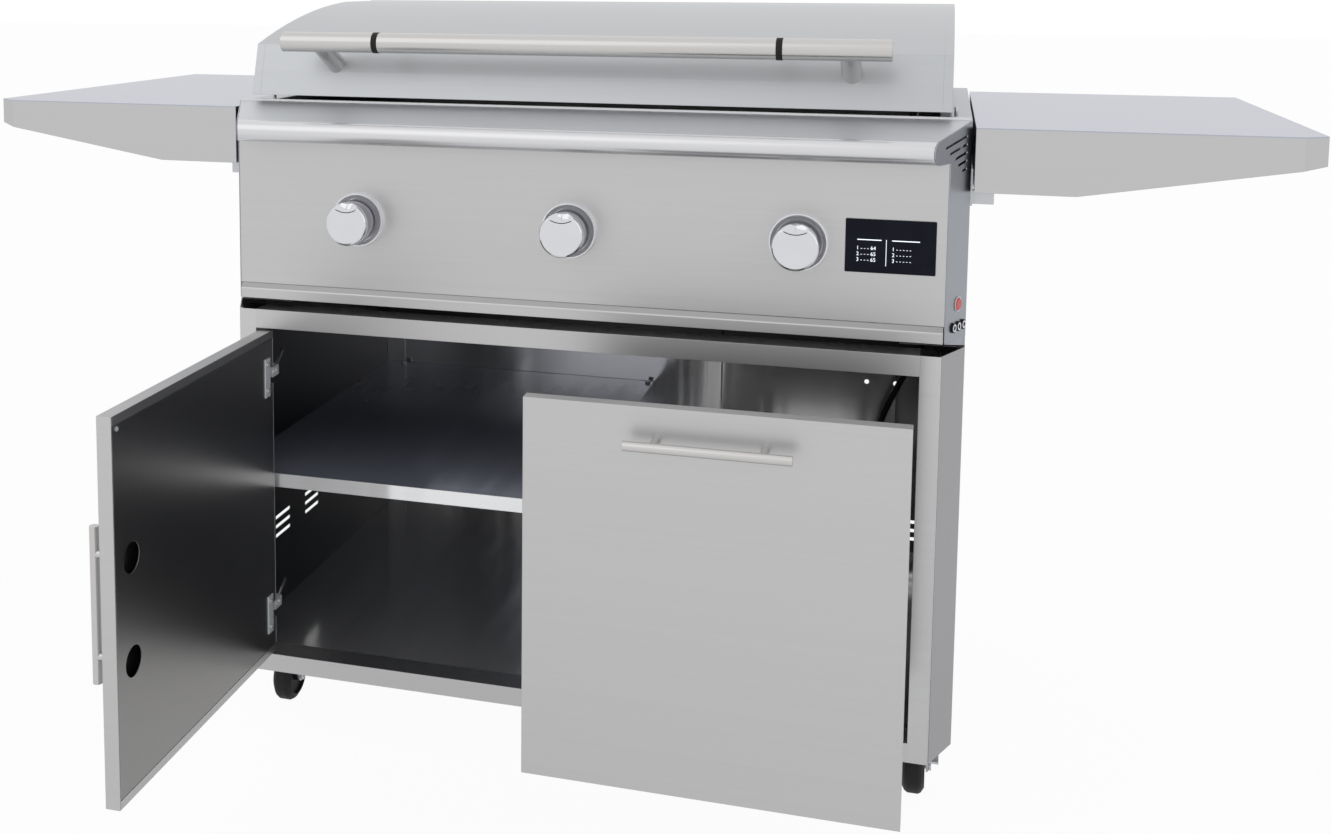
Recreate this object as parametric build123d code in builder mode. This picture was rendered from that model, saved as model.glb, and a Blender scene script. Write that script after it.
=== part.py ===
from build123d import *
import os
from math import atan, cos, hypot, pi, radians, sin, tan

# A flat-top gas griddle with a hinged lid, standing on a two-bay stainless cart: a hinged door on
# the left, a pull-out cylinder drawer on the right and a drop-leaf shelf on each side.
# Millimetres. The floor is Z = 0, the front looks along -Y and the right-hand side is +X.
# The door is drawn open and the drawer pulled out: that is the rest position.

# Sheet and general clearances
sheet = 1.5
skin = 1.2
running_gap = 0.3
fit_gap = 0.2
pin_play = 0.05

# Cart body
cart_lift = 100.0
frame_width = 968.0
frame_height = 540.0
stile_width = 25.0
top_rail = 27.0
bottom_rail = 26.0
frame_depth = 40.0
flare_out = 30.0
flare_depth = 67.0
cart_depth = 680.0
floor_thickness = 20.0
ledge_width = 82.0
louvre_length = 55.0
louvre_height = 6.0
louvre_pitch = 15.0
louvre_count = 3
louvre_drop = 377.0
louvre_starts = (174.0, 289.0)
rear_hole_dia = 8.0
rear_hole_spacing = 48.0
rear_hole_inset = 148.0
rear_hole_drop = 216.0
rear_vent_length = 60.0
rear_vent_count = 4
rear_vent_pitch = 90.0
rear_vent_rise = 48.0
rear_rib_x = 105.0
rear_rib_width = 25.0
rear_rib_depth = 8.0
rear_corner_width = 37.0

# Shelf in the left bay
inner_shelf_drop = 245.0
inner_shelf_edge = 20.0
inner_shelf_start = 13.0
inner_shelf_end = 3.0

# Door and drawer fronts
front_thickness = 19.0
front_proud = 10.0
front_reveal = 2.5
front_reveal_top = 3.0
front_reveal_bottom = 6.0
front_split = 3.0
access_hole_dia = 38.0
front_lip = 11.0
front_panel_gap = 0.8
door_open = 89.15

# Bar handles of the door and the drawer
bar_dia = 12.0
bar_length = 196.0
bar_standoff = 30.0
bar_post_dia = 10.0
bar_post_spacing = 128.0
door_bar_inset = 40.0
door_bar_drop = 276.0
drawer_bar_drop = 70.0

# Door hinge
hinge_pin_dia = 4.0
hinge_pin_inset = 8.5
hinge_pin_depth = 6.0
hinge_eye_dia = 8.0
hinge_arm_thickness = 2.5
hinge_arm_height = 16.0
hinge_lug_thickness = 3.0
hinge_lug_gap = 0.5
hinge_plate_length = 27.0
hinge_plate_start = 12.0
hinge_strap_run = 24.0
hinge_inset = 95.0
hinge_cup_depth = 13.0
hinge_flange_width = 16.0
hinge_flange_height = 56.0

# Drawer
drawer_pull = 216.0
rail_width = 20.0
rail_base = 6.5
rail_height = 20.0
rail_length = 500.0
rail_inset = 58.0
runner_height = 17.2
tray_inset = 20.0
tray_depth = 420.0
tray_wall = 28.0
tank_hole_dia = 206.0
gusset_reach = 210.0
gusset_height = 300.0

# Casters
wheel_dia = 75.0
wheel_width = 30.0
wheel_dish = 5.0
wheel_rim = 10.0
wheel_shoulder = 9.0
wheel_bevel = 4.0
wheel_crown = 2.5
axle_dia = 8.0
caster_trail = 30.0
caster_inset = 47.0
caster_front = 90.0
caster_rear = 90.0
caster_plate_x = 70.0
caster_plate_y = 84.0
caster_plate_thickness = 3.0
swivel_boss_dia = 42.0
swivel_boss_height = 12.0
king_pin_dia = 12.0
fork_crown_dia = 56.0
fork_thickness = 3.0
fork_gap = 1.5
fork_leg_width = 30.0
pedal_width = 64.0
pedal_reach = 44.0
pedal_thickness = 3.0
pedal_lip_rise = 8.0
pedal_lip_reach = 12.0
pedal_barrel_dia = 10.0
pedal_pin_dia = 5.0
pedal_pin_back = 6.0
pedal_pin_drop = 19.0

# Griddle head
head_gap = 14.0
panel_inset = 25.2
panel_setback = 13.3
panel_height = 205.0
panel_flange = 12.0
head_flare_depth = 73.0
rim_width = 40.0
tray_lip_height = 13.0
tray_lip_bevel = 9.0
tray_lip_proud = 3.0
nose_dia = 30.4
nose_reach = 31.0
nose_rise = 245.6
deck_slope = 11.7
deck_back = 76.0
deck_lip = 3.0
vent_count = 5
vent_height = 3.2
vent_back = 60.0
vent_first = -2.0
vent_step = 12.2
vent_drop = 18.4
vent_pitch = 10.4
vent_slope = 10.0

# Controls
knob_rise = 122.0
knob_inset = 184.8
bezel_dia = 78.0
bezel_lip_dia = 75.0
bezel_mouth_dia = 71.0
bezel_well_dia = 62.0
bezel_height = 10.0
knob_dia = 60.0
knob_length = 37.0
knob_face = 52.0
knob_round = 4.0
knob_scoop_dia = 80.0
knob_scoop_rise = 46.0
knob_scoop_out = 27.3
knob_push = 4.0
stem_dia = 8.0
stem_flat = 2.5
display_width = 112.0
display_height = 69.0
display_inset = 70.2
display_rise = 121.2
display_bezel = 1.5
display_body = 22.0
display_border = 3.0
button_dia = 16.0
button_ring = 1.6
button_along = 36.0
button_rise = 46.0
button_proud = 2.5
button_edge = 1.0
button_length = 14.0
jack_count = 3
jack_dia = 13.0
jack_bore = 6.0
jack_barrel = 10.0
jack_pitch = 15.0
jack_along = 23.0
jack_rise = 17.0
jack_proud = 2.5
jack_length = 16.0

# Gas train and fire box
firebox_inset = 74.0
firebox_front = 95.0
firebox_rear = 30.0
firebox_height = 259.0
firebox_flange = 14.0
valve_width = 24.0
valve_front = 40.0
valve_back = 85.0
manifold_dia = 20.0
manifold_y = 62.0
manifold_inset = 42.0
inlet_rear = 80.0
inlet_end = 6.0
manifold_bend = 22.0
burner_dia = 30.0
burner_rear = 80.0
burner_throat_dia = 22.0
plate_thickness = 8.0
plate_wall = 3.0
plate_wall_height = 26.0
plate_front = 100.0
plate_gap = 3.0
plate_slot_length = 300.0
plate_slot_width = 16.0
drip_headroom = 2.0
drip_rear = 70.0
drip_lift = 4.0

# Lid
lid_inset = 25.4
lid_cap_width = 12.0
lid_gap = 10.5
lid_front = 62.2
lid_low_band = (8.9, 34.6)
lid_high_band = (11.0, 38.0)
lid_shoulder = (138.0, 33.0)
lid_crown = (344.0, 56.5)
lid_crown_flat = 110.0
lid_rear = 20.0
lid_back_edge = 38.0
lid_pivot_rear = 32.0
lid_pivot_rise = 12.0
lid_pin_dia = 8.0
lid_lug_thickness = 4.0
lid_lug_width = 11.0
lid_lug_foot = 24.0
lid_bar_dia = 28.0
lid_bar_inset = 74.1
lid_bar_y = 9.8
lid_bar_rise = 80.0
lid_ring_inset = 139.5
lid_ring_width = 8.0
lid_ring_groove = 1.5
lid_post_dia = 26.0
lid_post_inset = 52.5
lid_post_rise = 46.0

# Drop-leaf side shelves
leaf_gap = 4.5
leaf_length = 407.5
leaf_front = 66.0
leaf_back = 720.0
leaf_drop = 8.5
leaf_apron = 83.5
leaf_tip = 36.7
leaf_bend = 122.5
leaf_clip_x = 30.0
leaf_clip_y = 20.0
leaf_pin_dia = 8.0
leaf_pin_out = 18.0
leaf_pin_drop = 91.0
leaf_lug_thickness = 5.0
leaf_lug_reach = 12.0
bracket_front = 110.0
bracket_rear = 40.0
bracket_plate = 3.0
bracket_half = 24.0
bracket_up = 36.0
bracket_down = 12.0

# Gas hose, from the inlet down to the regulator on the cabinet floor
hose_dia = 10.0
inlet_nut = 14.0
regulator_dia = 56.0
regulator_height = 26.0
regulator_neck = 18.0
coupling_dia = 40.0
coupling_length = 44.0

# Places worked out from the sizes above
cart_top = cart_lift + frame_height
opening_width = frame_width - 2 * stile_width
opening_low = cart_lift + bottom_rail
opening_high = cart_top - top_rail
front_width = (opening_width - 2 * front_reveal - front_split) / 2
front_low = opening_low + front_reveal_bottom
front_high = opening_high - front_reveal_top
front_height = front_high - front_low
door_edge_x = -opening_width / 2 + front_reveal
pin_x = door_edge_x + hinge_pin_inset
door_way = (cos(radians(door_open)), -sin(radians(door_open)))
door_reach = front_proud - hinge_pin_depth - (front_width - hinge_pin_inset) * door_way[1]
door_reach += hinge_pin_depth * door_way[0]
front_y = (door_reach - leaf_back) / 2  # the origin is under the middle of the footprint
pin_y = front_y - front_proud + hinge_pin_depth
body_half = frame_width / 2 + flare_out
panel_half = body_half - panel_inset
lid_half = body_half - lid_inset
firebox_half = body_half - firebox_inset
manifold_side = body_half - manifold_inset
caster_x = body_half - caster_inset
display_x = panel_half - display_inset
knob_spacing = panel_half - knob_inset
lid_bar_half = lid_half - lid_bar_inset
lid_ring_x = lid_bar_half - lid_ring_inset
lid_post_x = lid_bar_half - lid_post_inset
rear_y = front_y + cart_depth
inlet_y = rear_y - inlet_rear
bracket_places = (bracket_front, cart_depth - bracket_rear)
floor_top = cart_lift + floor_thickness
hinge_zs = (cart_top - hinge_inset, cart_lift + hinge_inset)
head_low = cart_top + head_gap
panel_y = front_y + panel_setback
panel_low = head_low + tray_lip_height + tray_lip_bevel
panel_high = panel_low + panel_height
nose_y = front_y - nose_reach + nose_dia / 2
nose_z = head_low + nose_rise
nose_top_y = nose_y - nose_dia / 2 * sin(radians(deck_slope))
nose_top_z = nose_z + nose_dia / 2 * cos(radians(deck_slope))
rim_z = nose_top_z + (front_y + head_flare_depth - nose_top_y) * tan(radians(deck_slope))
knob_z = head_low + knob_rise
lid_low = rim_z + lid_gap
pivot_y = rear_y - lid_pivot_rear
pivot_z = lid_low + lid_pivot_rise
leaf_top = rim_z - leaf_drop
leaf_inner = body_half + leaf_gap
leaf_pin_x = body_half + leaf_pin_out
leaf_pin_z = leaf_top - leaf_pin_drop

# Slope of the flared sides in plan, on the cart and on the head
cart_flare = flare_out / flare_depth
head_flare = (body_half - panel_half) / (head_flare_depth - panel_setback)


def block(x, y, z, mode=Mode.ADD):
    """A box between two limits on each axis."""
    with Locations(((x[0] + x[1]) / 2, (y[0] + y[1]) / 2, (z[0] + z[1]) / 2)):
        Box(x[1] - x[0], y[1] - y[0], z[1] - z[0], mode=mode)


def bent_strip(path, thickness):
    """Corner points of a sheet bent along a path, thickened to the left of the way it runs."""
    offset_points = []
    for i, (x, y) in enumerate(path):
        before = path[max(i - 1, 0)]
        after = path[min(i + 1, len(path) - 1)]
        ways = []
        for start, end in ((before, (x, y)), ((x, y), after)):
            length = hypot(end[0] - start[0], end[1] - start[1])
            if length > 0:
                ways.append(((end[0] - start[0]) / length, (end[1] - start[1]) / length))
        normal = (-(ways[0][1] + ways[-1][1]) / 2, (ways[0][0] + ways[-1][0]) / 2)
        stretch = thickness / (normal[0] ** 2 + normal[1] ** 2)
        offset_points.append((x + normal[0] * stretch, y + normal[1] * stretch))
    return list(path) + offset_points[::-1]


def cart_half_at(depth, inset=0.0):
    """Half width of the cart body at a depth behind the face frame, less a wall inset."""
    if depth >= flare_depth:
        return body_half - inset
    return frame_width / 2 + cart_flare * depth - inset / cos(atan(cart_flare))


def head_half_at(depth, inset=0.0):
    """Half width of the griddle head at a depth behind the face frame, less a wall inset."""
    if depth >= head_flare_depth:
        return body_half - inset
    return panel_half + head_flare * (depth - panel_setback) - inset / cos(atan(head_flare))


def save(builder, name):
    """Label a finished piece and write it to its own file."""
    builder.part.label = name
    export_step(builder.part, f"parts/{name}.step")


os.makedirs("parts", exist_ok=True)


# Face frame: a channel round the cabinet opening, open at its back
with BuildPart() as face_frame:
    with BuildSketch(Plane.XZ.offset(-front_y)):
        with Locations((0, (cart_lift + cart_top) / 2)):
            Rectangle(frame_width, frame_height)
        with Locations((0, (opening_low + opening_high) / 2)):
            Rectangle(opening_width, opening_high - opening_low, mode=Mode.SUBTRACT)
    extrude(amount=-frame_depth)
    with BuildSketch(Plane.XZ.offset(-front_y - sheet)):
        with Locations((0, (cart_lift + cart_top) / 2)):
            Rectangle(frame_width - 2 * sheet, frame_height - 2 * sheet)
        with Locations((0, (opening_low + opening_high) / 2)):
            Rectangle(opening_width + 2 * sheet, opening_high - opening_low + 2 * sheet, mode=Mode.SUBTRACT)
    extrude(amount=-(frame_depth - sheet), mode=Mode.SUBTRACT)
save(face_frame, "face_frame")


# Side panels: flared at the front, with a ledge along the top and two groups of louvre slots
flare_start = 4.0
for side, name in ((-1, "left_side_panel"), (1, "right_side_panel")):
    wall_path = (
        (cart_half_at(flare_start), front_y + flare_start),
        (body_half, front_y + flare_depth),
        (body_half, rear_y),
    )
    with BuildPart() as side_panel:
        with BuildSketch(Plane.XY.offset(cart_lift)):
            Polygon(*[(side * x, y) for x, y in bent_strip(wall_path, sheet)], align=None)
        extrude(amount=frame_height)
        ledge_x = sorted((side * (body_half - sheet), side * (body_half - ledge_width)))
        block(ledge_x, (front_y + flare_depth, rear_y - sheet), (cart_top - sheet, cart_top))
        if side > 0:
            with Locations((manifold_side, inlet_y, cart_top)):
                Hole(manifold_dia / 2 + 4)
        wall_x = sorted((side * (body_half - 2 * sheet), side * (body_half + sheet)))
        for start in louvre_starts:
            for row in range(louvre_count):
                slot_z = cart_top - louvre_drop - row * louvre_pitch
                block(
                    wall_x,
                    (front_y + start, front_y + start + louvre_length),
                    (slot_z - louvre_height / 2, slot_z + louvre_height / 2),
                    mode=Mode.SUBTRACT,
                )
    save(side_panel, name)


# Rear panel, with a stiffening rib, a corner strip at each end, two clip holes and low gas vents
with BuildPart() as rear_panel:
    block((-body_half + sheet, body_half - sheet), (rear_y - sheet, rear_y), (cart_lift, cart_top))
    rib_z = (floor_top, cart_top - 2 * sheet)
    rib_y = (rear_y - sheet - rear_rib_depth, rear_y - sheet)
    block((rear_rib_x - rear_rib_width / 2, rear_rib_x + rear_rib_width / 2), rib_y, rib_z)
    for side in (-1, 1):
        strip_x = sorted((side * (body_half - sheet - fit_gap), side * (body_half - rear_corner_width)))
        block(strip_x, (rear_y - 2 * sheet, rear_y - sheet), rib_z)
    with BuildSketch(Plane.XZ.offset(-rear_y)):
        with Locations((body_half - rear_hole_inset + rear_hole_spacing / 2, cart_top - rear_hole_drop)):
            with GridLocations(rear_hole_spacing, 1, 2, 1):
                Circle(rear_hole_dia / 2)
        with Locations(((rear_rib_x + body_half) / 2, floor_top + rear_vent_rise)):
            with GridLocations(rear_vent_pitch, louvre_pitch, rear_vent_count, louvre_count):
                SlotOverall(rear_vent_length, louvre_height)
    extrude(amount=2 * sheet, both=True, mode=Mode.SUBTRACT)
save(rear_panel, "rear_panel")


# Floor pan, with its rim turned down
def floor_outline(inset):
    """Plan of the floor at an inset from the skin of the cart."""
    edge = frame_depth + inset - sheet - fit_gap
    right = [
        (cart_half_at(edge, inset), front_y + edge),
        (body_half - inset, front_y + flare_depth),
        (body_half - inset, rear_y - inset),
    ]
    return right + [(-x, y) for x, y in right[::-1]]


with BuildPart() as cart_floor:
    with BuildSketch(Plane.XY.offset(cart_lift)):
        Polygon(*floor_outline(sheet + fit_gap), align=None)
    extrude(amount=floor_thickness)
    with BuildSketch(Plane.XY.offset(cart_lift)):
        Polygon(*floor_outline(2 * sheet + fit_gap), align=None)
    extrude(amount=floor_thickness - sheet, mode=Mode.SUBTRACT)
save(cart_floor, "cart_floor")


# Shelf of the left bay: one sheet with a front edge turned down and its right end folded to the floor
shelf_z = cart_top - inner_shelf_drop
with BuildPart() as inner_shelf:
    shelf_wall = sheet + running_gap
    shelf_back = rear_y - shelf_wall - sheet
    behind_frame = frame_depth + running_gap
    with BuildSketch(Plane.XY.offset(shelf_z - sheet)):
        Polygon(
            (door_edge_x + 1, front_y + inner_shelf_start),
            (-inner_shelf_end, front_y + inner_shelf_start),
            (-inner_shelf_end, shelf_back),
            (-body_half + shelf_wall, shelf_back),
            (-body_half + shelf_wall, front_y + flare_depth),
            (-cart_half_at(behind_frame, shelf_wall), front_y + behind_frame),
            (door_edge_x + 1, front_y + behind_frame),
            align=None,
        )
    extrude(amount=sheet)
    edge_y = front_y + inner_shelf_start
    block((door_edge_x + 1, -inner_shelf_end), (edge_y, edge_y + sheet),
          (shelf_z - inner_shelf_edge, shelf_z))
    leg_x = (-inner_shelf_end - sheet, -inner_shelf_end)
    block(leg_x, (front_y + behind_frame, shelf_back), (floor_top, shelf_z))
save(inner_shelf, "inner_shelf")


# Fixed arms of the door hinges: a plate on the stile and a strap that ends in an eye on the pin
plate_x = -opening_width / 2
strap_back = front_y + hinge_plate_start + hinge_strap_run
with BuildPart() as door_hinge_arms:
    for hinge_z in hinge_zs:
        arm_low = hinge_z - hinge_arm_height / 2
        with BuildSketch(Plane.XY.offset(arm_low)):
            with Locations((pin_x, pin_y)):
                Circle(hinge_eye_dia / 2)
            with Locations((pin_x, (pin_y + strap_back) / 2)):
                Rectangle(hinge_arm_thickness, strap_back - pin_y)
            bridge_right = pin_x + hinge_arm_thickness / 2
            with Locations(((plate_x + bridge_right) / 2, strap_back - 2)):
                Rectangle(bridge_right - plate_x, 4)
            plate_mid = front_y + hinge_plate_start + hinge_plate_length / 2
            with Locations((plate_x + hinge_arm_thickness / 2, plate_mid)):
                Rectangle(hinge_arm_thickness, hinge_plate_length)
            with Locations((pin_x, pin_y)):
                Circle(hinge_pin_dia / 2 + pin_play, mode=Mode.SUBTRACT)
        extrude(amount=hinge_arm_height)
save(door_hinge_arms, "door_hinge_arms")


# Door, drawn open. On this plane X runs from the hinge to the free edge and Y through its thickness
door_plane = Plane(origin=(pin_x, pin_y, front_low), x_dir=(*door_way, 0), z_dir=(0, 0, 1))
leaf_u = (-hinge_pin_inset, front_width - hinge_pin_inset)
leaf_v = (-hinge_pin_depth, front_thickness - hinge_pin_depth)
hinge_heights = [hinge_z - front_low for hinge_z in hinge_zs]
notch_half = hinge_arm_height / 2 + hinge_lug_gap + hinge_lug_thickness + 1
notch_right = hinge_eye_dia / 2 + 2

with BuildPart(door_plane) as door_skin:
    block(leaf_u, leaf_v, (0, front_height))
    block((leaf_u[0] + skin, leaf_u[1] - skin), (leaf_v[0] + skin, leaf_v[1]), (skin, front_height - skin),
          mode=Mode.SUBTRACT)
    for height in hinge_heights:
        block((leaf_u[0], leaf_u[0] + skin), (leaf_v[0] + skin, leaf_v[1]),
              (height - notch_half, height + notch_half), mode=Mode.SUBTRACT)
    for lip_w in ((0, front_lip), (front_height - front_lip, front_height)):
        block((leaf_u[0] + skin, leaf_u[1] - skin - front_panel_gap), (leaf_v[1] - skin, leaf_v[1]), lip_w)
save(door_skin, "door_skin")

bar_u = leaf_u[1] - door_bar_inset
bar_w = cart_top - door_bar_drop - front_low
with BuildPart(door_plane) as door_inner_panel:
    panel_v = (leaf_v[1] - skin, leaf_v[1])
    panel_edge = skin + front_panel_gap
    panel_w = (front_lip + front_panel_gap, front_height - front_lip - front_panel_gap)
    block((leaf_u[0] + panel_edge, leaf_u[1] - panel_edge), panel_v, panel_w)
    for height in hinge_heights:
        block((leaf_u[0], notch_right), panel_v, (height - notch_half, height + notch_half),
              mode=Mode.SUBTRACT)
    with Locations((bar_u, leaf_v[1], bar_w)):
        with Locations((0, 0, -bar_post_spacing / 2), (0, 0, bar_post_spacing / 2)):
            Cylinder(access_hole_dia / 2, 4 * skin, rotation=(90, 0, 0), mode=Mode.SUBTRACT)
save(door_inner_panel, "door_inner_panel")

# Moving halves of the hinges: a cup let into the door, two lugs and the pin between them
with BuildPart(door_plane) as door_hinge_cups:
    cup_half = hinge_arm_height / 2 + hinge_lug_gap + hinge_lug_thickness
    cup_start = hinge_eye_dia / 2 + hinge_lug_gap
    cup_u = (cup_start, cup_start + hinge_cup_depth)
    cup_v = (leaf_v[0] + skin, leaf_v[1] - skin)
    for height in hinge_heights:
        cup_w = (height - cup_half, height + cup_half)
        block(cup_u, cup_v, cup_w)
        block((cup_start, notch_right), cup_v[:1] + leaf_v[1:], cup_w)
        flange_w = (height - hinge_flange_height / 2, height + hinge_flange_height / 2)
        block((cup_start, cup_start + hinge_flange_width), (leaf_v[1], leaf_v[1] + sheet), flange_w)
        for end in (-1, 1):
            lug_mid = height + end * (cup_half - hinge_lug_thickness / 2)
            lug_w = (lug_mid - hinge_lug_thickness / 2, lug_mid + hinge_lug_thickness / 2)
            block((0, cup_u[0]), (-hinge_eye_dia / 2, hinge_eye_dia / 2), lug_w)
            with Locations((0, 0, lug_mid)):
                Cylinder(hinge_eye_dia / 2, hinge_lug_thickness)
        with Locations((0, 0, height)):
            Cylinder(hinge_pin_dia / 2, 2 * cup_half)
save(door_hinge_cups, "door_hinge_cups")


def bar_handle(face, along):
    """A round bar on two posts, standing off a front face along the face's -Y."""
    across = Vector(face)
    axis_at = across - Vector(0, bar_standoff, 0)
    turn = (0, 90, 0) if along == "x" else (0, 0, 0)
    way = Vector(1, 0, 0) if along == "x" else Vector(0, 0, 1)
    with Locations(axis_at):
        Cylinder(bar_dia / 2, bar_length, rotation=turn)
    for end in (-1, 1):
        post = across + way * (end * bar_post_spacing / 2) - Vector(0, bar_standoff / 2, 0)
        with Locations(post):
            Cylinder(bar_post_dia / 2, bar_standoff, rotation=(90, 0, 0))


with BuildPart(door_plane) as door_handle:
    bar_handle((bar_u, leaf_v[0], bar_w), "z")
save(door_handle, "door_handle")


# Drawer, drawn pulled out
drawer_left = front_split / 2
drawer_right = drawer_left + front_width
drawer_y = front_y - front_proud - drawer_pull
drawer_back_y = drawer_y + front_thickness
drawer_mid = (drawer_left + drawer_right) / 2

with BuildPart() as drawer_front_skin:
    block((drawer_left, drawer_right), (drawer_y, drawer_back_y), (front_low, front_high))
    block((drawer_left + skin, drawer_right - skin), (drawer_y + skin, drawer_back_y),
          (front_low + skin, front_high - skin), mode=Mode.SUBTRACT)
    for lip_z in ((front_low, front_low + front_lip), (front_high - front_lip, front_high)):
        block((drawer_left + skin, drawer_right - skin - front_panel_gap),
              (drawer_back_y - skin, drawer_back_y), lip_z)
save(drawer_front_skin, "drawer_front_skin")

drawer_bar_z = cart_top - drawer_bar_drop
with BuildPart() as drawer_inner_panel:
    lip_edge = front_lip + front_panel_gap
    block((drawer_left + panel_edge, drawer_right - panel_edge), (drawer_back_y - skin, drawer_back_y),
          (front_low + lip_edge, front_high - lip_edge))
    with Locations((drawer_mid, drawer_back_y, drawer_bar_z)):
        with GridLocations(bar_post_spacing, 1, 2, 1):
            Cylinder(access_hole_dia / 2, 4 * skin, rotation=(90, 0, 0), mode=Mode.SUBTRACT)
save(drawer_inner_panel, "drawer_inner_panel")

with BuildPart() as drawer_handle:
    bar_handle((drawer_mid, drawer_y, drawer_bar_z), "x")
save(drawer_handle, "drawer_handle")

# Fixed rails on the floor and the runners that slide in them
rail_places = (drawer_left + rail_inset, drawer_right - rail_inset)
rail_y = front_y + frame_depth + 5
with BuildPart() as drawer_rails:
    for x in rail_places:
        rail_x = (x - rail_width / 2, x + rail_width / 2)
        block(rail_x, (rail_y, rail_y + rail_length), (floor_top, floor_top + rail_height))
        block((rail_x[0] + sheet, rail_x[1] - sheet), (rail_y, rail_y + rail_length),
              (floor_top + rail_base, floor_top + rail_height), mode=Mode.SUBTRACT)
save(drawer_rails, "drawer_rails")

runner_low = floor_top + rail_base + running_gap
runner_half = rail_width / 2 - sheet - running_gap
runner_y = drawer_back_y + rail_y - front_y - front_thickness + front_proud
with BuildPart() as drawer_runners:
    for x in rail_places:
        block((x - runner_half, x + runner_half), (runner_y, runner_y + rail_length),
              (runner_low, runner_low + runner_height))
save(drawer_runners, "drawer_runners")

# Drawer tray: a low-walled pan with the cylinder's foot hole, and the two gussets that brace the front
tray_low = runner_low + runner_height
with BuildPart() as drawer_tray:
    tray_x = (drawer_left + tray_inset, drawer_right - tray_inset)
    tray_y = (drawer_back_y, drawer_back_y + tray_depth)
    block(tray_x, tray_y, (tray_low, tray_low + tray_wall))
    block((tray_x[0] + sheet, tray_x[1] - sheet), (tray_y[0] + sheet, tray_y[1] - sheet),
          (tray_low + sheet, tray_low + tray_wall), mode=Mode.SUBTRACT)
    with Locations((drawer_mid, (tray_y[0] + tray_y[1]) / 2, tray_low)):
        Cylinder(tank_hole_dia / 2, 4 * sheet, mode=Mode.SUBTRACT)
save(drawer_tray, "drawer_tray")

with BuildPart() as drawer_gussets:
    for x in (tray_x[0], tray_x[1] - sheet):
        with BuildSketch(Plane.YZ.offset(x)):
            Polygon(
                (tray_y[0], tray_low + tray_wall),
                (tray_y[0] + gusset_reach, tray_low + tray_wall),
                (tray_y[0] + sheet * 10, tray_low + gusset_height),
                (tray_y[0], tray_low + gusset_height),
                align=None,
            )
        extrude(amount=sheet)
save(drawer_gussets, "drawer_gussets")


# Casters
caster_places = {
    "front_left": (-caster_x, front_y + caster_front),
    "front_right": (caster_x, front_y + caster_front),
    "rear_left": (-caster_x, rear_y - caster_rear),
    "rear_right": (caster_x, rear_y - caster_rear),
}
plate_top = floor_top - sheet
plate_low = plate_top - caster_plate_thickness
boss_low = plate_low - swivel_boss_height
crown_top = boss_low - running_gap
axle_z = wheel_dia / 2

with BuildPart() as caster_plates:
    for x, y in caster_places.values():
        with Locations((x, y, plate_low + caster_plate_thickness / 2)):
            Box(caster_plate_x, caster_plate_y, caster_plate_thickness)
        with Locations((x, y, boss_low + swivel_boss_height / 2)):
            Cylinder(swivel_boss_dia / 2, swivel_boss_height)
        with Locations((x, y, boss_low + swivel_boss_height / 2)):
            Cylinder(king_pin_dia / 2 + pin_play, swivel_boss_height, mode=Mode.SUBTRACT)
save(caster_plates, "caster_plates")

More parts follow.
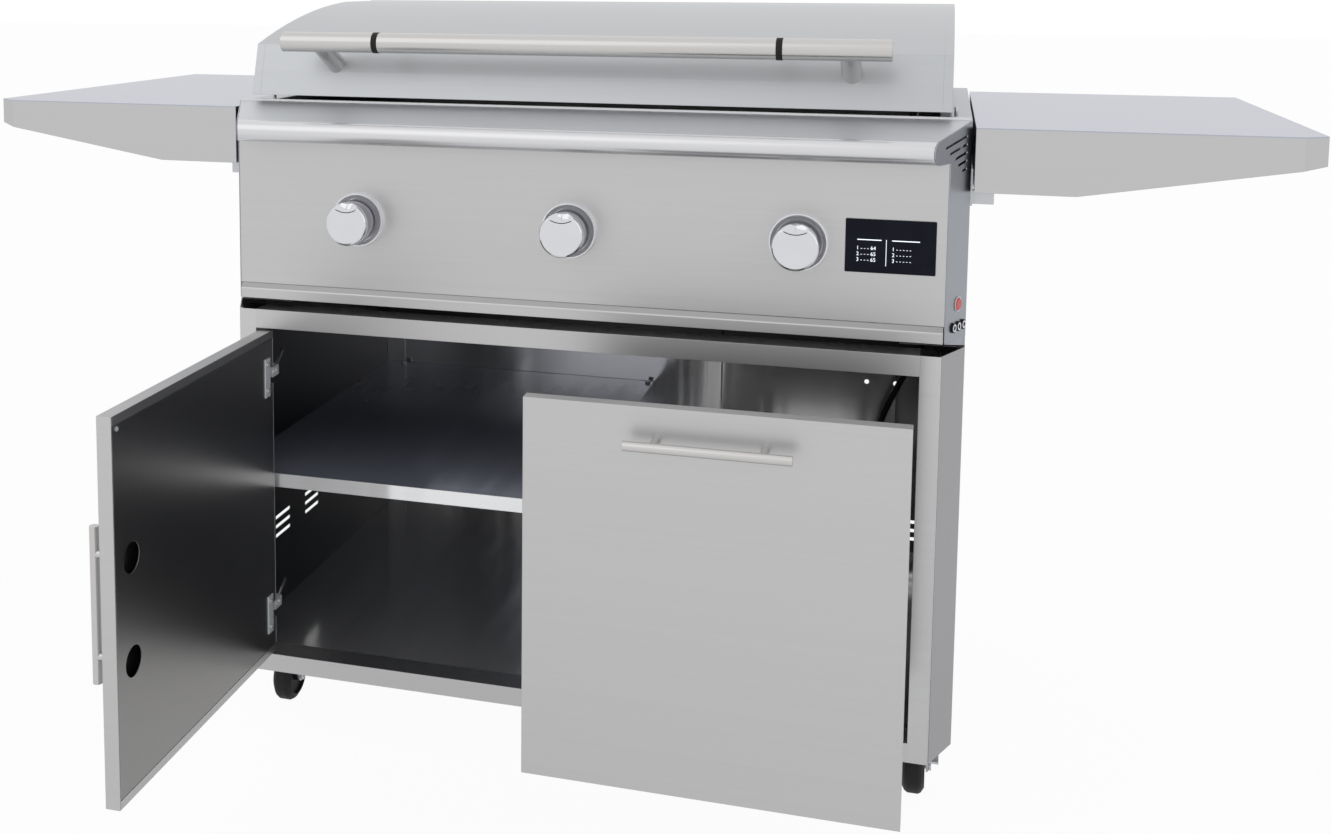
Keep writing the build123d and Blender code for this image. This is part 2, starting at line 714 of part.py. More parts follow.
pedal_pin_z = crown_top - pedal_pin_drop
for place, (x, y) in caster_places.items():
    axle_y = y + caster_trail
    pedal_y = y - pedal_pin_back
    leg_inner = wheel_width / 2 + fork_gap

    with BuildPart() as caster_fork:
        with Locations((x, y, crown_top - fork_thickness / 2)):
            Cylinder(fork_crown_dia / 2, fork_thickness)
        with Locations((x, y, crown_top + (swivel_boss_height + running_gap) / 2)):
            Cylinder(king_pin_dia / 2, swivel_boss_height + running_gap)
        for inner_x in (x - leg_inner - fork_thickness, x + leg_inner):
            with BuildSketch(Plane.YZ.offset(inner_x)):
                with BuildLine():
                    half = fork_leg_width / 2
                    top_front = (y - half, crown_top)
                    low_front = (axle_y - axle_dia, axle_z)
                    low_back = (axle_y + axle_dia, axle_z)
                    top_back = (y + half, crown_top)
                    Polyline(low_back, top_back, top_front, low_front)
                    ThreePointArc(low_front, (axle_y, axle_z - axle_dia), low_back)
                make_face()
            extrude(amount=fork_thickness)
        with Locations((x, axle_y, axle_z)):
            Cylinder(axle_dia / 2, 2 * (leg_inner + fork_thickness), rotation=(0, 90, 0))
        if place.startswith("front"):
            with Locations((x, pedal_y, pedal_pin_z)):
                Cylinder(pedal_pin_dia / 2, 2 * (leg_inner + fork_thickness), rotation=(0, 90, 0))
    save(caster_fork, f"caster_fork_{place}")

    with BuildPart() as caster_wheel:
        half = wheel_width / 2
        half_profile = [
            (half, axle_dia / 2 + pin_play),
            (half, axle_dia),
            (half - wheel_dish, axle_dia),
            (half - wheel_dish, wheel_dia / 2 - wheel_rim),
            (half, wheel_dia / 2 - wheel_rim),
            (half, wheel_dia / 2 - wheel_shoulder),
            (half - wheel_bevel, wheel_dia / 2 - wheel_crown),
            (half - 2 * wheel_bevel, wheel_dia / 2),
        ]
        with BuildSketch(Plane((x, axle_y, axle_z))):
            Polygon(*half_profile, *[(-across, out) for across, out in half_profile[::-1]], align=None)
        revolve(axis=Axis((x, axle_y, axle_z), (1, 0, 0)))
    save(caster_wheel, f"caster_wheel_{place}")

    if place.startswith("front"):
        with BuildPart() as brake_pedal:
            with Locations((x, pedal_y, pedal_pin_z)):
                Cylinder(pedal_barrel_dia / 2, wheel_width, rotation=(0, 90, 0))
            toe_z = (pedal_pin_z - pedal_thickness / 2, pedal_pin_z + pedal_thickness / 2)
            block((x - wheel_width / 2, x + wheel_width / 2), (pedal_y - pedal_reach / 2, pedal_y), toe_z)
            toe_x = (x - pedal_width / 2, x + pedal_width / 2)
            block(toe_x, (pedal_y - pedal_reach, pedal_y - pedal_reach / 2), toe_z)
            lip_back = pedal_y - pedal_reach / 2
            lip_z = (toe_z[0] + pedal_lip_rise, toe_z[1] + pedal_lip_rise)
            block(toe_x, (lip_back - pedal_lip_reach, lip_back), lip_z)
            block((x - wheel_width / 2, x + wheel_width / 2), (lip_back - pedal_thickness, lip_back),
                  (toe_z[0], lip_z[1]))
            with Locations((x, pedal_y, pedal_pin_z)):
                Cylinder(pedal_pin_dia / 2 + pin_play, wheel_width, rotation=(0, 90, 0), mode=Mode.SUBTRACT)
        save(brake_pedal, f"brake_pedal_{place}")


# Cheeks of the griddle head: flared in plan, shaped in side view round the rolled front, with vents
def cheek_outline():
    """Side view of a cheek, from the bottom front corner round the nose to the back."""
    nose_front = (nose_y - nose_dia / 2, nose_z)
    nose_low = (nose_y, nose_z - nose_dia / 2)
    rim_start = (front_y + head_flare_depth, rim_z)
    Polyline((panel_y, nose_low[1]), (panel_y, head_low), (rear_y, head_low), (rear_y, rim_z), rim_start,
             (nose_top_y, nose_top_z))
    ThreePointArc((nose_top_y, nose_top_z), nose_front, nose_low)
    Line(nose_low, (panel_y, nose_low[1]))


flare_plane_right = Plane(
    origin=(panel_half, panel_y, head_low),
    x_dir=(sin(atan(head_flare)), cos(atan(head_flare)), 0),
    z_dir=(cos(atan(head_flare)), -sin(atan(head_flare)), 0),
)
jack_spots = [(jack_along + i * jack_pitch, jack_rise) for i in range(jack_count)]

for side, name in ((-1, "left_cheek"), (1, "right_cheek")):
    nose_depth = -nose_reach - sheet
    wall_path = (
        (head_half_at(nose_depth), front_y + nose_depth),
        (body_half, front_y + head_flare_depth),
        (body_half, rear_y),
    )
    with BuildPart() as cheek:
        with BuildSketch(Plane.XY.offset(head_low)):
            Polygon(*[(side * x, y) for x, y in bent_strip(wall_path, sheet)], align=None)
        extrude(amount=rim_z - head_low)
        with BuildSketch(Plane.YZ):
            with BuildLine():
                cheek_outline()
            make_face()
        extrude(amount=2 * body_half, both=True, mode=Mode.INTERSECT)
        rim_x = sorted((side * (body_half - sheet), side * (body_half - rim_width)))
        block(rim_x, (front_y + deck_back + running_gap, rear_y - sheet), (rim_z - sheet, rim_z))
        for i in range(vent_count):
            vent_front = vent_first + i * vent_step
            run = vent_back - vent_front
            vent_z = rim_z - vent_drop - i * vent_pitch - run / 2 * tan(radians(vent_slope))
            with BuildSketch(Plane.YZ):
                with Locations((front_y + vent_front + run / 2, vent_z)):
                    SlotOverall(run / cos(radians(vent_slope)), vent_height, rotation=vent_slope)
            extrude(amount=side * 2 * body_half, mode=Mode.SUBTRACT)
        if side > 0:
            with BuildSketch(flare_plane_right):
                with Locations((button_along, button_rise)):
                    Circle(button_dia / 2 + pin_play + button_ring)
            extrude(amount=1)
            with BuildSketch(flare_plane_right):
                with Locations((button_along, button_rise)):
                    Circle(button_dia / 2 + pin_play)
                with Locations(*jack_spots):
                    Circle(jack_barrel / 2)
            extrude(amount=3 * sheet, both=True, mode=Mode.SUBTRACT)
    save(cheek, name)

# Push button and probe jacks on the right-hand flare
with BuildPart(flare_plane_right) as power_button:
    with Locations((button_along, button_rise, button_proud - button_length / 2)):
        Cylinder(button_dia / 2, button_length)
    outward = Axis(flare_plane_right.origin, flare_plane_right.z_dir)
    chamfer(power_button.faces().sort_by(outward)[-1].edges(), button_edge)
save(power_button, "power_button")

with BuildPart(flare_plane_right) as probe_jacks:
    for along, rise in jack_spots:
        with Locations((along, rise, jack_proud / 2)):
            Cylinder(jack_dia / 2, jack_proud)
        with Locations((along, rise, -jack_length / 2)):
            Cylinder(jack_barrel / 2 - pin_play, jack_length)
        with Locations((along, rise, jack_proud - jack_length / 4)):
            Cylinder(jack_bore / 2, jack_length / 2, mode=Mode.SUBTRACT)
save(probe_jacks, "probe_jacks")


# Rear panel of the head
with BuildPart() as head_rear_panel:
    block((-body_half + sheet, body_half - sheet), (rear_y - sheet, rear_y), (head_low, rim_z))
save(head_rear_panel, "head_rear_panel")


# Rolled front and deck: a hollow beam cut at both ends by the flare of the cheeks
with BuildPart() as front_deck:
    deck_back_z = nose_top_z + (front_y + deck_back - nose_top_y) * tan(radians(deck_slope))
    with BuildSketch(Plane.YZ.offset(-body_half)):
        with BuildLine():
            nose_low = (nose_y, nose_z - nose_dia / 2)
            deck_foot = (panel_y + panel_flange, nose_low[1])
            Polyline((nose_top_y, nose_top_z), (front_y + deck_back, deck_back_z),
                     (front_y + deck_back, deck_back_z - panel_flange), deck_foot, nose_low)
            ThreePointArc(nose_low, (nose_y - nose_dia / 2, nose_z), (nose_top_y, nose_top_z))
        make_face()
        offset(amount=-sheet, kind=Kind.INTERSECTION, mode=Mode.SUBTRACT)
    extrude(amount=2 * body_half)
    block((-body_half, body_half), (front_y + deck_back - sheet, front_y + deck_back),
          (deck_back_z - 2 * sheet, deck_back_z + deck_lip))
    with BuildSketch(Plane.XY.offset(head_low)):
        low_y, high_y = -nose_reach - sheet, deck_back
        wall = sheet + fit_gap
        corners = ((head_half_at(low_y, wall), front_y + low_y),
                   (body_half - wall, front_y + head_flare_depth),
                   (body_half - wall, front_y + high_y))
        Polygon(*corners, *[(-x, y) for x, y in corners[::-1]], align=None)
    extrude(amount=2 * firebox_height, mode=Mode.INTERSECT)
save(front_deck, "front_deck")


# Control panel, with its flanges, the stem holes and the window for the display
knob_places = {"left": -knob_spacing, "middle": 0.0, "right": knob_spacing}
display_z = head_low + display_rise
with BuildPart() as control_panel:
    panel_edge = head_half_at(panel_setback, sheet)
    panel_top = nose_z - nose_dia / 2
    block((-panel_edge, panel_edge), (panel_y, panel_y + sheet), (panel_low, panel_top))
    for flange_z in (panel_low, panel_top - sheet):
        block((-panel_edge, panel_edge), (panel_y, panel_y + panel_flange), (flange_z, flange_z + sheet))
    for x in knob_places.values():
        with Locations((x, panel_y, knob_z)):
            Cylinder(stem_dia, 4 * sheet, rotation=(90, 0, 0), mode=Mode.SUBTRACT)
    block((display_x - display_width / 2 + display_border, display_x + display_width / 2 - display_border),
          (panel_y - sheet, panel_y + 2 * sheet),
          (display_z - display_height / 2 + display_border, display_z + display_height / 2 - display_border),
          mode=Mode.SUBTRACT)
save(control_panel, "control_panel")

with BuildPart() as display:
    block((display_x - display_width / 2, display_x + display_width / 2), (panel_y - display_bezel, panel_y),
          (display_z - display_height / 2, display_z + display_height / 2))
    fillet(display.edges().filter_by(Axis.Y), 2)
    inner = display_border + running_gap
    block((display_x - display_width / 2 + inner, display_x + display_width / 2 - inner),
          (panel_y, panel_y + display_body),
          (display_z - display_height / 2 + inner, display_z + display_height / 2 - inner))
save(display, "display")


# Knob bezels, knobs and the valve stems they slide on
with BuildPart() as knob_bezels:
    for x in knob_places.values():
        # a cup with a narrow lip, whose well narrows towards the panel
        bezel_front = Plane((x, panel_y - bezel_height, knob_z), x_dir=(1, 0, 0), z_dir=(0, -1, 0))
        with BuildSketch(bezel_front.offset(-bezel_height)):
            Circle(bezel_dia / 2)
        with BuildSketch(bezel_front):
            Circle(bezel_lip_dia / 2)
        loft()
        with BuildSketch(bezel_front.offset(sheet - bezel_height)):
            Circle(bezel_well_dia / 2)
        with BuildSketch(bezel_front):
            Circle(bezel_mouth_dia / 2)
        loft(mode=Mode.SUBTRACT)
        with Locations((x, panel_y, knob_z)):
            Cylinder(stem_dia, 4 * bezel_height, rotation=(90, 0, 0), mode=Mode.SUBTRACT)
save(knob_bezels, "knob_bezels")

knob_front_y = panel_y - knob_face
stem_front_y = knob_front_y + knob_length / 3
stem_back_y = front_y + (valve_front + valve_back) / 2
for place, x in knob_places.items():
    knob_plane = Plane((x, knob_front_y + knob_length, knob_z), x_dir=(1, 0, 0), z_dir=(0, -1, 0))
    with BuildPart(knob_plane) as knob:
        Cylinder(knob_dia / 2, knob_length, align=(Align.CENTER, Align.CENTER, Align.MIN))
        fillet(knob.edges().filter_by(GeomType.CIRCLE).sort_by(Axis.Y)[0], knob_round)
        # the thumb scoop: a hollow that leaves a lens-shaped facet over the upper part of the face
        with Locations((0, knob_scoop_rise, knob_length + knob_scoop_out)):
            Sphere(knob_scoop_dia / 2, mode=Mode.SUBTRACT)
        with BuildSketch(knob_plane):
            Circle(stem_dia / 2 + pin_play)
            with Locations((0, stem_dia / 2 + pin_play)):
                Rectangle(stem_dia, 2 * (stem_dia / 2 - stem_flat), mode=Mode.SUBTRACT)
        extrude(amount=2 * knob_length / 3 + knob_push + running_gap, mode=Mode.SUBTRACT)
    save(knob, f"knob_{place}")

    stem_plane = Plane((x, stem_back_y, knob_z), x_dir=(1, 0, 0), z_dir=(0, -1, 0))
    with BuildPart() as valve_stem:
        with BuildSketch(stem_plane):
            Circle(stem_dia / 2)
            with Locations((0, stem_dia / 2)):
                Rectangle(stem_dia, 2 * (stem_dia / 2 - stem_flat) + 2 * pin_play, mode=Mode.SUBTRACT)
        extrude(amount=stem_back_y - stem_front_y)
        with BuildSketch(stem_plane):
            Circle(stem_dia / 2)
        extrude(amount=stem_back_y - front_y - valve_front)
    save(valve_stem, f"valve_stem_{place}")


# Gas train: valve bodies on a manifold that runs back to the inlet over the right-hand ledge
with BuildPart() as gas_valves:
    for x in knob_places.values():
        block((x - valve_width / 2, x + valve_width / 2), (front_y + valve_front, front_y + valve_back),
              (knob_z - valve_width / 2, knob_z + valve_width / 2))
        bore_length = stem_back_y - front_y - valve_front + running_gap
        with Locations((x, front_y + valve_front + bore_length / 2, knob_z)):
            Cylinder(stem_dia / 2 + pin_play, bore_length, rotation=(90, 0, 0), mode=Mode.SUBTRACT)
save(gas_valves, "gas_valves")

manifold_z = knob_z - valve_width / 2 - manifold_dia / 2 - running_gap
inlet_z = cart_top - inlet_end
with BuildPart() as gas_manifold:
    manifold_pipe_y = front_y + manifold_y
    with BuildLine() as pipe_line:
        FilletPolyline(
            (-knob_spacing - valve_width, manifold_pipe_y, manifold_z),
            (manifold_side, manifold_pipe_y, manifold_z),
            (manifold_side, inlet_y, manifold_z),
            (manifold_side, inlet_y, inlet_z),
            radius=manifold_bend,
        )
    with BuildSketch(Plane(pipe_line.line @ 0, z_dir=pipe_line.line % 0)):
        Circle(manifold_dia / 2)
    sweep()
    with Locations((manifold_side, inlet_y, inlet_z)):
        Cylinder(hose_dia / 2 + 3, inlet_nut, align=(Align.CENTER, Align.CENTER, Align.MAX))
save(gas_manifold, "gas_manifold")


# Fire box: four walls on the cart's ledges, a flange for the plate and two ledges for the drip tray
firebox_y = (front_y + firebox_front, rear_y - firebox_rear)
firebox_top = cart_top + firebox_height
drip_low = head_low + drip_lift
drip_wall = panel_low - drip_low - drip_headroom
with BuildPart() as firebox:
    block((-firebox_half, firebox_half), firebox_y, (cart_top, firebox_top))
    block((-firebox_half + sheet, firebox_half - sheet), (firebox_y[0] + sheet, firebox_y[1] - sheet),
          (cart_top, firebox_top - sheet), mode=Mode.SUBTRACT)
    flange = firebox_flange
    block((-firebox_half + flange, firebox_half - flange), (firebox_y[0] + flange, firebox_y[1] - flange),
          (firebox_top - 2 * sheet, firebox_top), mode=Mode.SUBTRACT)
    slot_half = firebox_half - sheet
    block((-slot_half, slot_half), (firebox_y[0] - sheet, firebox_y[0] + 2 * sheet),
          (drip_low - running_gap, drip_low + drip_wall + 3), mode=Mode.SUBTRACT)
    for side in (-1, 1):
        ledge_x = sorted((side * (firebox_half - sheet), side * (firebox_half - sheet - flange)))
        block(ledge_x, (firebox_y[0], firebox_y[1] - sheet),
              (drip_low - running_gap - sheet, drip_low - running_gap))
    for x in knob_places.values():
        with Locations((x, firebox_y[0], knob_z)):
            Cylinder(burner_throat_dia / 2 + running_gap, 4 * sheet, rotation=(90, 0, 0), mode=Mode.SUBTRACT)
save(firebox, "firebox")

with BuildPart() as burners:
    for x in knob_places.values():
        throat = (front_y + valve_back + running_gap, front_y + firebox_front + 3 * manifold_dia)
        tube = (throat[1], rear_y - burner_rear)
        with Locations((x, (throat[0] + throat[1]) / 2, knob_z)):
            Cylinder(burner_throat_dia / 2, throat[1] - throat[0], rotation=(90, 0, 0))
        with Locations((x, (tube[0] + tube[1]) / 2, knob_z)):
            Cylinder(burner_dia / 2, tube[1] - tube[0], rotation=(90, 0, 0))
        block((x - burner_dia / 2, x + burner_dia / 2), (tube[1] - 1, firebox_y[1] - sheet),
              (knob_z - sheet, knob_z))
save(burners, "burners")

# Griddle plate: a thick plate with a splash wall on three sides and a grease slot along the front
with BuildPart() as griddle_plate:
    plate_half = firebox_half - plate_gap
    plate_y = (front_y + plate_front, firebox_y[1] - plate_gap)
    plate_z = firebox_top + plate_thickness
    block((-plate_half, plate_half), plate_y, (firebox_top, plate_z + plate_wall_height))
    block((-plate_half + plate_wall, plate_half - plate_wall), (plate_y[0], plate_y[1] - plate_wall),
          (plate_z, plate_z + plate_wall_height), mode=Mode.SUBTRACT)
    block((-plate_half, plate_half), plate_y, (plate_z, plate_z + plate_wall_height / 2))
    block((-plate_half + plate_wall, plate_half - plate_wall),
          (plate_y[0] + plate_wall, plate_y[1] - plate_wall),
          (plate_z, plate_z + plate_wall_height / 2), mode=Mode.SUBTRACT)
    slot_y = plate_y[0] + firebox_flange + plate_slot_width
    with BuildSketch(Plane.XY.offset(plate_z)):
        with Locations((0, slot_y)):
            SlotOverall(plate_slot_length, plate_slot_width)
    extrude(amount=-2 * plate_thickness, mode=Mode.SUBTRACT)
save(griddle_plate, "griddle_plate")

# Drip tray: a shallow pan behind a bevelled front lip, sliding on the fire box's ledges
with BuildPart() as drip_tray:
    lip_half = head_half_at(panel_setback, sheet) - 1
    lip_path = (
        (panel_y - tray_lip_proud, head_low),
        (panel_y - tray_lip_proud, head_low + tray_lip_height),
        (panel_y, panel_low - running_gap),
    )
    with BuildSketch(Plane.YZ.offset(-lip_half)):
        Polygon(*bent_strip(lip_path[::-1], sheet), align=None)
    extrude(amount=2 * lip_half)
    pan_half = firebox_half - sheet - running_gap
    pan_y = (panel_y - tray_lip_proud + sheet, rear_y - drip_rear)
    block((-pan_half, pan_half), pan_y, (drip_low, drip_low + sheet))
    wall_y = (panel_y + panel_flange, pan_y[1])
    block((-pan_half, pan_half), wall_y, (drip_low, drip_low + drip_wall))
    block((-pan_half + sheet, pan_half - sheet), (wall_y[0] + sheet, wall_y[1] - sheet),
          (drip_low + sheet, drip_low + drip_wall), mode=Mode.SUBTRACT)
save(drip_tray, "drip_tray")


# Lid: a sheet bent twice at the front and rolled over the top, closed by a rimmed cap at each end
lid_p0 = (front_y + lid_front, lid_low)
lid_p1 = (lid_p0[0] + lid_low_band[0], lid_p0[1] + lid_low_band[1])
lid_p2 = (lid_p1[0] + lid_high_band[0], lid_p1[1] + lid_high_band[1])
lid_p3 = (lid_p2[0] + lid_shoulder[0], lid_p2[1] + lid_shoulder[1])
lid_p4 = (lid_p2[0] + lid_crown[0], lid_p2[1] + lid_crown[1])
lid_p5 = (lid_p4[0] + lid_crown_flat, lid_p4[1])
lid_p7 = (rear_y - lid_rear, lid_low + lid_back_edge)
lid_p6 = (lid_p5[0] + 0.72 * (lid_p7[0] - lid_p5[0]), lid_p7[1] + 0.7 * (lid_p5[1] - lid_p7[1]))


def lid_profile():
    """Outer line of the lid in side view, from the front edge over the top to the back edge."""
    Polyline(lid_p0, lid_p1, lid_p2)
    ThreePointArc(lid_p2, lid_p3, lid_p4)
    Line(lid_p4, lid_p5)
    ThreePointArc(lid_p5, lid_p6, lid_p7)


shell_half = lid_half - lid_cap_width
with BuildPart() as lid_shell:
    with BuildSketch(Plane.YZ.offset(-shell_half)):
        with BuildLine():
            lid_profile()
            Line(lid_p7, lid_p0)
        make_face()
        offset(amount=-sheet, kind=Kind.INTERSECTION, mode=Mode.SUBTRACT)
    extrude(amount=2 * shell_half)
    # open the underside: everything below the line from the front edge to the back edge
    with BuildSketch(Plane.YZ.offset(-lid_half)):
        inside = 3 * sheet
        Polygon(
            (lid_p0[0] + sheet * 1.1, lid_p0[1] - inside),
            (lid_p7[0] - sheet * 1.1, lid_p0[1] - inside),
            (lid_p7[0] - sheet * 1.1, lid_p7[1] + inside),
            (lid_p0[0] + sheet * 1.1 + inside, lid_p0[1] + inside),
            align=None,
        )
    extrude(amount=2 * lid_half, mode=Mode.SUBTRACT)
save(lid_shell, "lid_shell")

with BuildPart() as lid_end_caps:
    for side in (-1, 1):
        inner_x = min(side * shell_half, side * lid_half)
        with BuildSketch(Plane.YZ.offset(inner_x)) as cap_outline:
            with BuildLine():
                lid_profile()
                cap_low = (lid_p7[0], lid_low)
                Polyline(lid_p7, cap_low, lid_p0)
            make_face()
        extrude(amount=lid_cap_width)
        rim_x = inner_x if side > 0 else inner_x + sheet
        with BuildSketch(Plane.YZ.offset(rim_x)) as cap_hollow:
            with BuildLine():
                lid_profile()
                Polyline(lid_p7, (lid_p7[0], lid_low), lid_p0)
            make_face()
            offset(amount=-sheet, kind=Kind.INTERSECTION, mode=Mode.REPLACE)
        extrude(amount=lid_cap_width - sheet, mode=Mode.SUBTRACT)
        hollow_x = (rim_x, rim_x + lid_cap_width - sheet)
        block(hollow_x, (lid_p0[0] + 2 * sheet, lid_p7[0] - sheet), (lid_low - 1, lid_low + 2 * sheet),
              mode=Mode.SUBTRACT)
        block(hollow_x, (pivot_y - 2 * lid_lug_width, lid_p7[0] + 1), (lid_low - 1, lid_p7[1]),
              mode=Mode.SUBTRACT)
        with Locations((side * lid_half, pivot_y, pivot_z)):
            Cylinder(lid_pin_dia / 2 + pin_play, 6 * sheet, rotation=(0, 90, 0), mode=Mode.SUBTRACT)
save(lid_end_caps, "lid_end_caps")

# Fixed hinge lugs on the rim, each with the pin that its end cap turns on
with BuildPart() as lid_hinges:
    for side in (-1, 1):
        lug_out = lid_half - sheet - running_gap
        lug_x = sorted((side * lug_out, side * (lug_out - lid_lug_thickness)))
        block(lug_x, (pivot_y - lid_lug_width / 2, pivot_y + lid_lug_width / 2), (rim_z, pivot_z))
        with Locations(((lug_x[0] + lug_x[1]) / 2, pivot_y, pivot_z)):
            Cylinder(lid_lug_width / 2, lid_lug_thickness, rotation=(0, 90, 0))
        foot_x = sorted((side * lug_out, side * (lug_out - lid_lug_thickness - sheet)))
        block(foot_x, (pivot_y - lid_lug_foot, pivot_y + lid_lug_width / 2), (rim_z, rim_z + sheet))
        pin_x_mid = side * (lid_half - lid_cap_width / 4)
        with Locations((side * (lid_half - lid_lug_thickness / 2), pivot_y, pivot_z)):
            Cylinder(lid_pin_dia / 2, lid_lug_thickness, rotation=(0, 90, 0))
save(lid_hinges, "lid_hinges")

# Lid handle: a bar with two rubber rings let into it, on two posts trimmed to the lid's front
lid_bar_at = (0, front_y + lid_bar_y, lid_low + lid_bar_rise)
ring_spots = [(side * lid_ring_x, lid_bar_at[1], lid_bar_at[2]) for side in (-1, 1)]
band_slope = atan(lid_high_band[0] / lid_high_band[1])
with BuildPart() as lid_handle:
    with Locations(lid_bar_at):
        Cylinder(lid_bar_dia / 2, 2 * lid_bar_half, rotation=(0, 90, 0))
    for side in (-1, 1):
        post_start = Vector(side * lid_post_x, lid_bar_at[1], lid_bar_at[2])
        rise = lid_post_rise - lid_low_band[1]
        post_end = Vector(side * lid_post_x, lid_p1[0] + rise * tan(band_slope), lid_p1[1] + rise)
        way = post_end - post_start
        with BuildSketch(Plane(post_start, x_dir=(1, 0, 0), z_dir=way.normalized())):
            Circle(lid_post_dia / 2)
        extrude(amount=way.length + lid_post_dia)
    trim_plane = Plane((0, lid_p1[0], lid_p1[1]), x_dir=(1, 0, 0),
                       z_dir=(0, cos(band_slope), -sin(band_slope)))
    with BuildSketch(trim_plane):
        Rectangle(2 * lid_half, 8 * lid_post_dia)
    extrude(amount=4 * lid_post_dia, mode=Mode.SUBTRACT)
    with Locations(*ring_spots):
        Cylinder(lid_bar_dia, lid_ring_width, rotation=(0, 90, 0), mode=Mode.SUBTRACT)
        Cylinder(lid_bar_dia / 2 - lid_ring_groove, lid_ring_width, rotation=(0, 90, 0))
save(lid_handle, "lid_handle")

with BuildPart() as handle_rings:
    with Locations(*ring_spots):
        Cylinder(lid_bar_dia / 2 + lid_ring_groove / 3, lid_ring_width, rotation=(0, 90, 0))
        Cylinder(lid_bar_dia / 2 - lid_ring_groove + pin_play, lid_ring_width, rotation=(0, 90, 0),
                 mode=Mode.SUBTRACT)
save(handle_rings, "handle_rings")


# Drop-leaf shelves: a top with aprons all round, deeper near the cart, hinged at the inner end
def leaf_plan(inset):
    """Plan of a shelf, with its front outer corner clipped, at an inset from its edges."""
    x0, x1 = leaf_inner + inset, leaf_inner + leaf_length - inset
    y0, y1 = front_y + leaf_front + inset, front_y + leaf_back - inset
    clip = [(x1 - leaf_clip_x + inset / 2, y0), (x1, y0 + leaf_clip_y - inset / 2)]
    return [(x0, y0), *clip, (x1, y1), (x0, y1)]


for side, name in ((-1, "left_shelf"), (1, "right_shelf")):
    with BuildPart() as leaf:
        with BuildSketch(Plane.XY.offset(leaf_top - leaf_apron)):
            Polygon(*[(side * x, y) for x, y in leaf_plan(0)], align=None)
        extrude(amount=leaf_apron)
        with BuildSketch(Plane.XZ.offset(-front_y)):
            Polygon(
                (side * leaf_inner, leaf_top),
                (side * (leaf_inner + leaf_length), leaf_top),
                (side * (leaf_inner + leaf_length), leaf_top - leaf_tip),
                (side * (leaf_inner + leaf_bend), leaf_top - leaf_apron),
                (side * leaf_inner, leaf_top - leaf_apron),
                align=None,
            )
        extrude(amount=-2 * leaf_back, mode=Mode.INTERSECT)
        with BuildSketch(Plane.XY.offset(leaf_top - leaf_apron)):
            Polygon(*[(side * x, y) for x, y in leaf_plan(sheet)], align=None)
        extrude(amount=leaf_apron - sheet, mode=Mode.SUBTRACT)
        for place in bracket_places:
            lug_y = front_y + place
            with BuildSketch(Plane.XZ.offset(-lug_y)):
                with BuildLine():
                    lug_in = leaf_inner + sheet
                    lug_out = leaf_pin_x + leaf_lug_reach
                    lug_r = leaf_lug_reach - 3
                    Polyline((side * (leaf_pin_x + lug_r), leaf_pin_z), (side * lug_out, leaf_top - sheet),
                             (side * lug_in, leaf_top - sheet), (side * lug_in, leaf_pin_z))
                    ThreePointArc((side * lug_in, leaf_pin_z),
                                  (side * (lug_in + leaf_pin_x + lug_r) / 2, leaf_pin_z - lug_r),
                                  (side * (leaf_pin_x + lug_r), leaf_pin_z))
                make_face()
            extrude(amount=leaf_lug_thickness / 2, both=True)
            with Locations((side * leaf_pin_x, lug_y, leaf_pin_z)):
                Cylinder(leaf_pin_dia / 2 + pin_play, 2 * leaf_lug_thickness, rotation=(90, 0, 0),
                         mode=Mode.SUBTRACT)
    save(leaf, name)

# Brackets of the shelves: a plate on the cheek, two ears and the hinge pin between them
with BuildPart() as shelf_brackets:
    for side in (-1, 1):
        for place in bracket_places:
            mid_y = front_y + place
            plate_x = sorted((side * body_half, side * (body_half + bracket_plate)))
            block(plate_x, (mid_y - bracket_half, mid_y + bracket_half),
                  (leaf_pin_z - bracket_down, leaf_pin_z + bracket_up))
            ear_in = leaf_lug_thickness / 2 + running_gap
            for ear_y in (mid_y - ear_in - bracket_plate, mid_y + ear_in):
                ear_x = sorted((side * (body_half + bracket_plate), side * (leaf_pin_x + leaf_lug_reach)))
                block(ear_x, (ear_y, ear_y + bracket_plate), (leaf_pin_z - bracket_down, leaf_pin_z + 6))
            pin_length = 2 * (ear_in + bracket_plate)
            with Locations((side * leaf_pin_x, mid_y, leaf_pin_z)):
                Cylinder(leaf_pin_dia / 2, pin_length, rotation=(90, 0, 0))
save(shelf_brackets, "shelf_brackets")


# Gas hose: hangs from the inlet and comes down to the regulator that stands on the cabinet floor
hose_foot = (manifold_side - 98, inlet_y + 6)
regulator_z = floor_top + regulator_dia / 2 + running_gap
hose_end_z = regulator_z + regulator_dia / 2 + regulator_neck
hose_top_z = inlet_z - inlet_nut
hose_points = [
    (manifold_side, inlet_y, hose_top_z),
    (manifold_side, inlet_y, hose_top_z - 44),
    (manifold_side - 10, inlet_y + 8, hose_top_z - 92),
    (manifold_side - 31, inlet_y + 20, hose_top_z - 142),
    (manifold_side - 56, inlet_y + 30, hose_top_z - 192),
    (manifold_side - 77, inlet_y + 34, hose_top_z - 242),
    (manifold_side - 91, inlet_y + 30, hose_top_z - 292),
    (manifold_side - 97, inlet_y + 18, hose_top_z - 340),
    (*hose_foot, hose_top_z - 380),
    (*hose_foot, hose_end_z),
]


def hose_radii(points):
    """Largest bend radius that each corner's two runs leave room for."""
    radii = []
    for a, b, c in zip(points, points[1:], points[2:]):
        run_in, run_out = Vector(b) - Vector(a), Vector(c) - Vector(b)
        turn = radians(run_in.get_angle(run_out))
        radii.append(0.45 * min(run_in.length, run_out.length) / tan(turn / 2))
    return radii


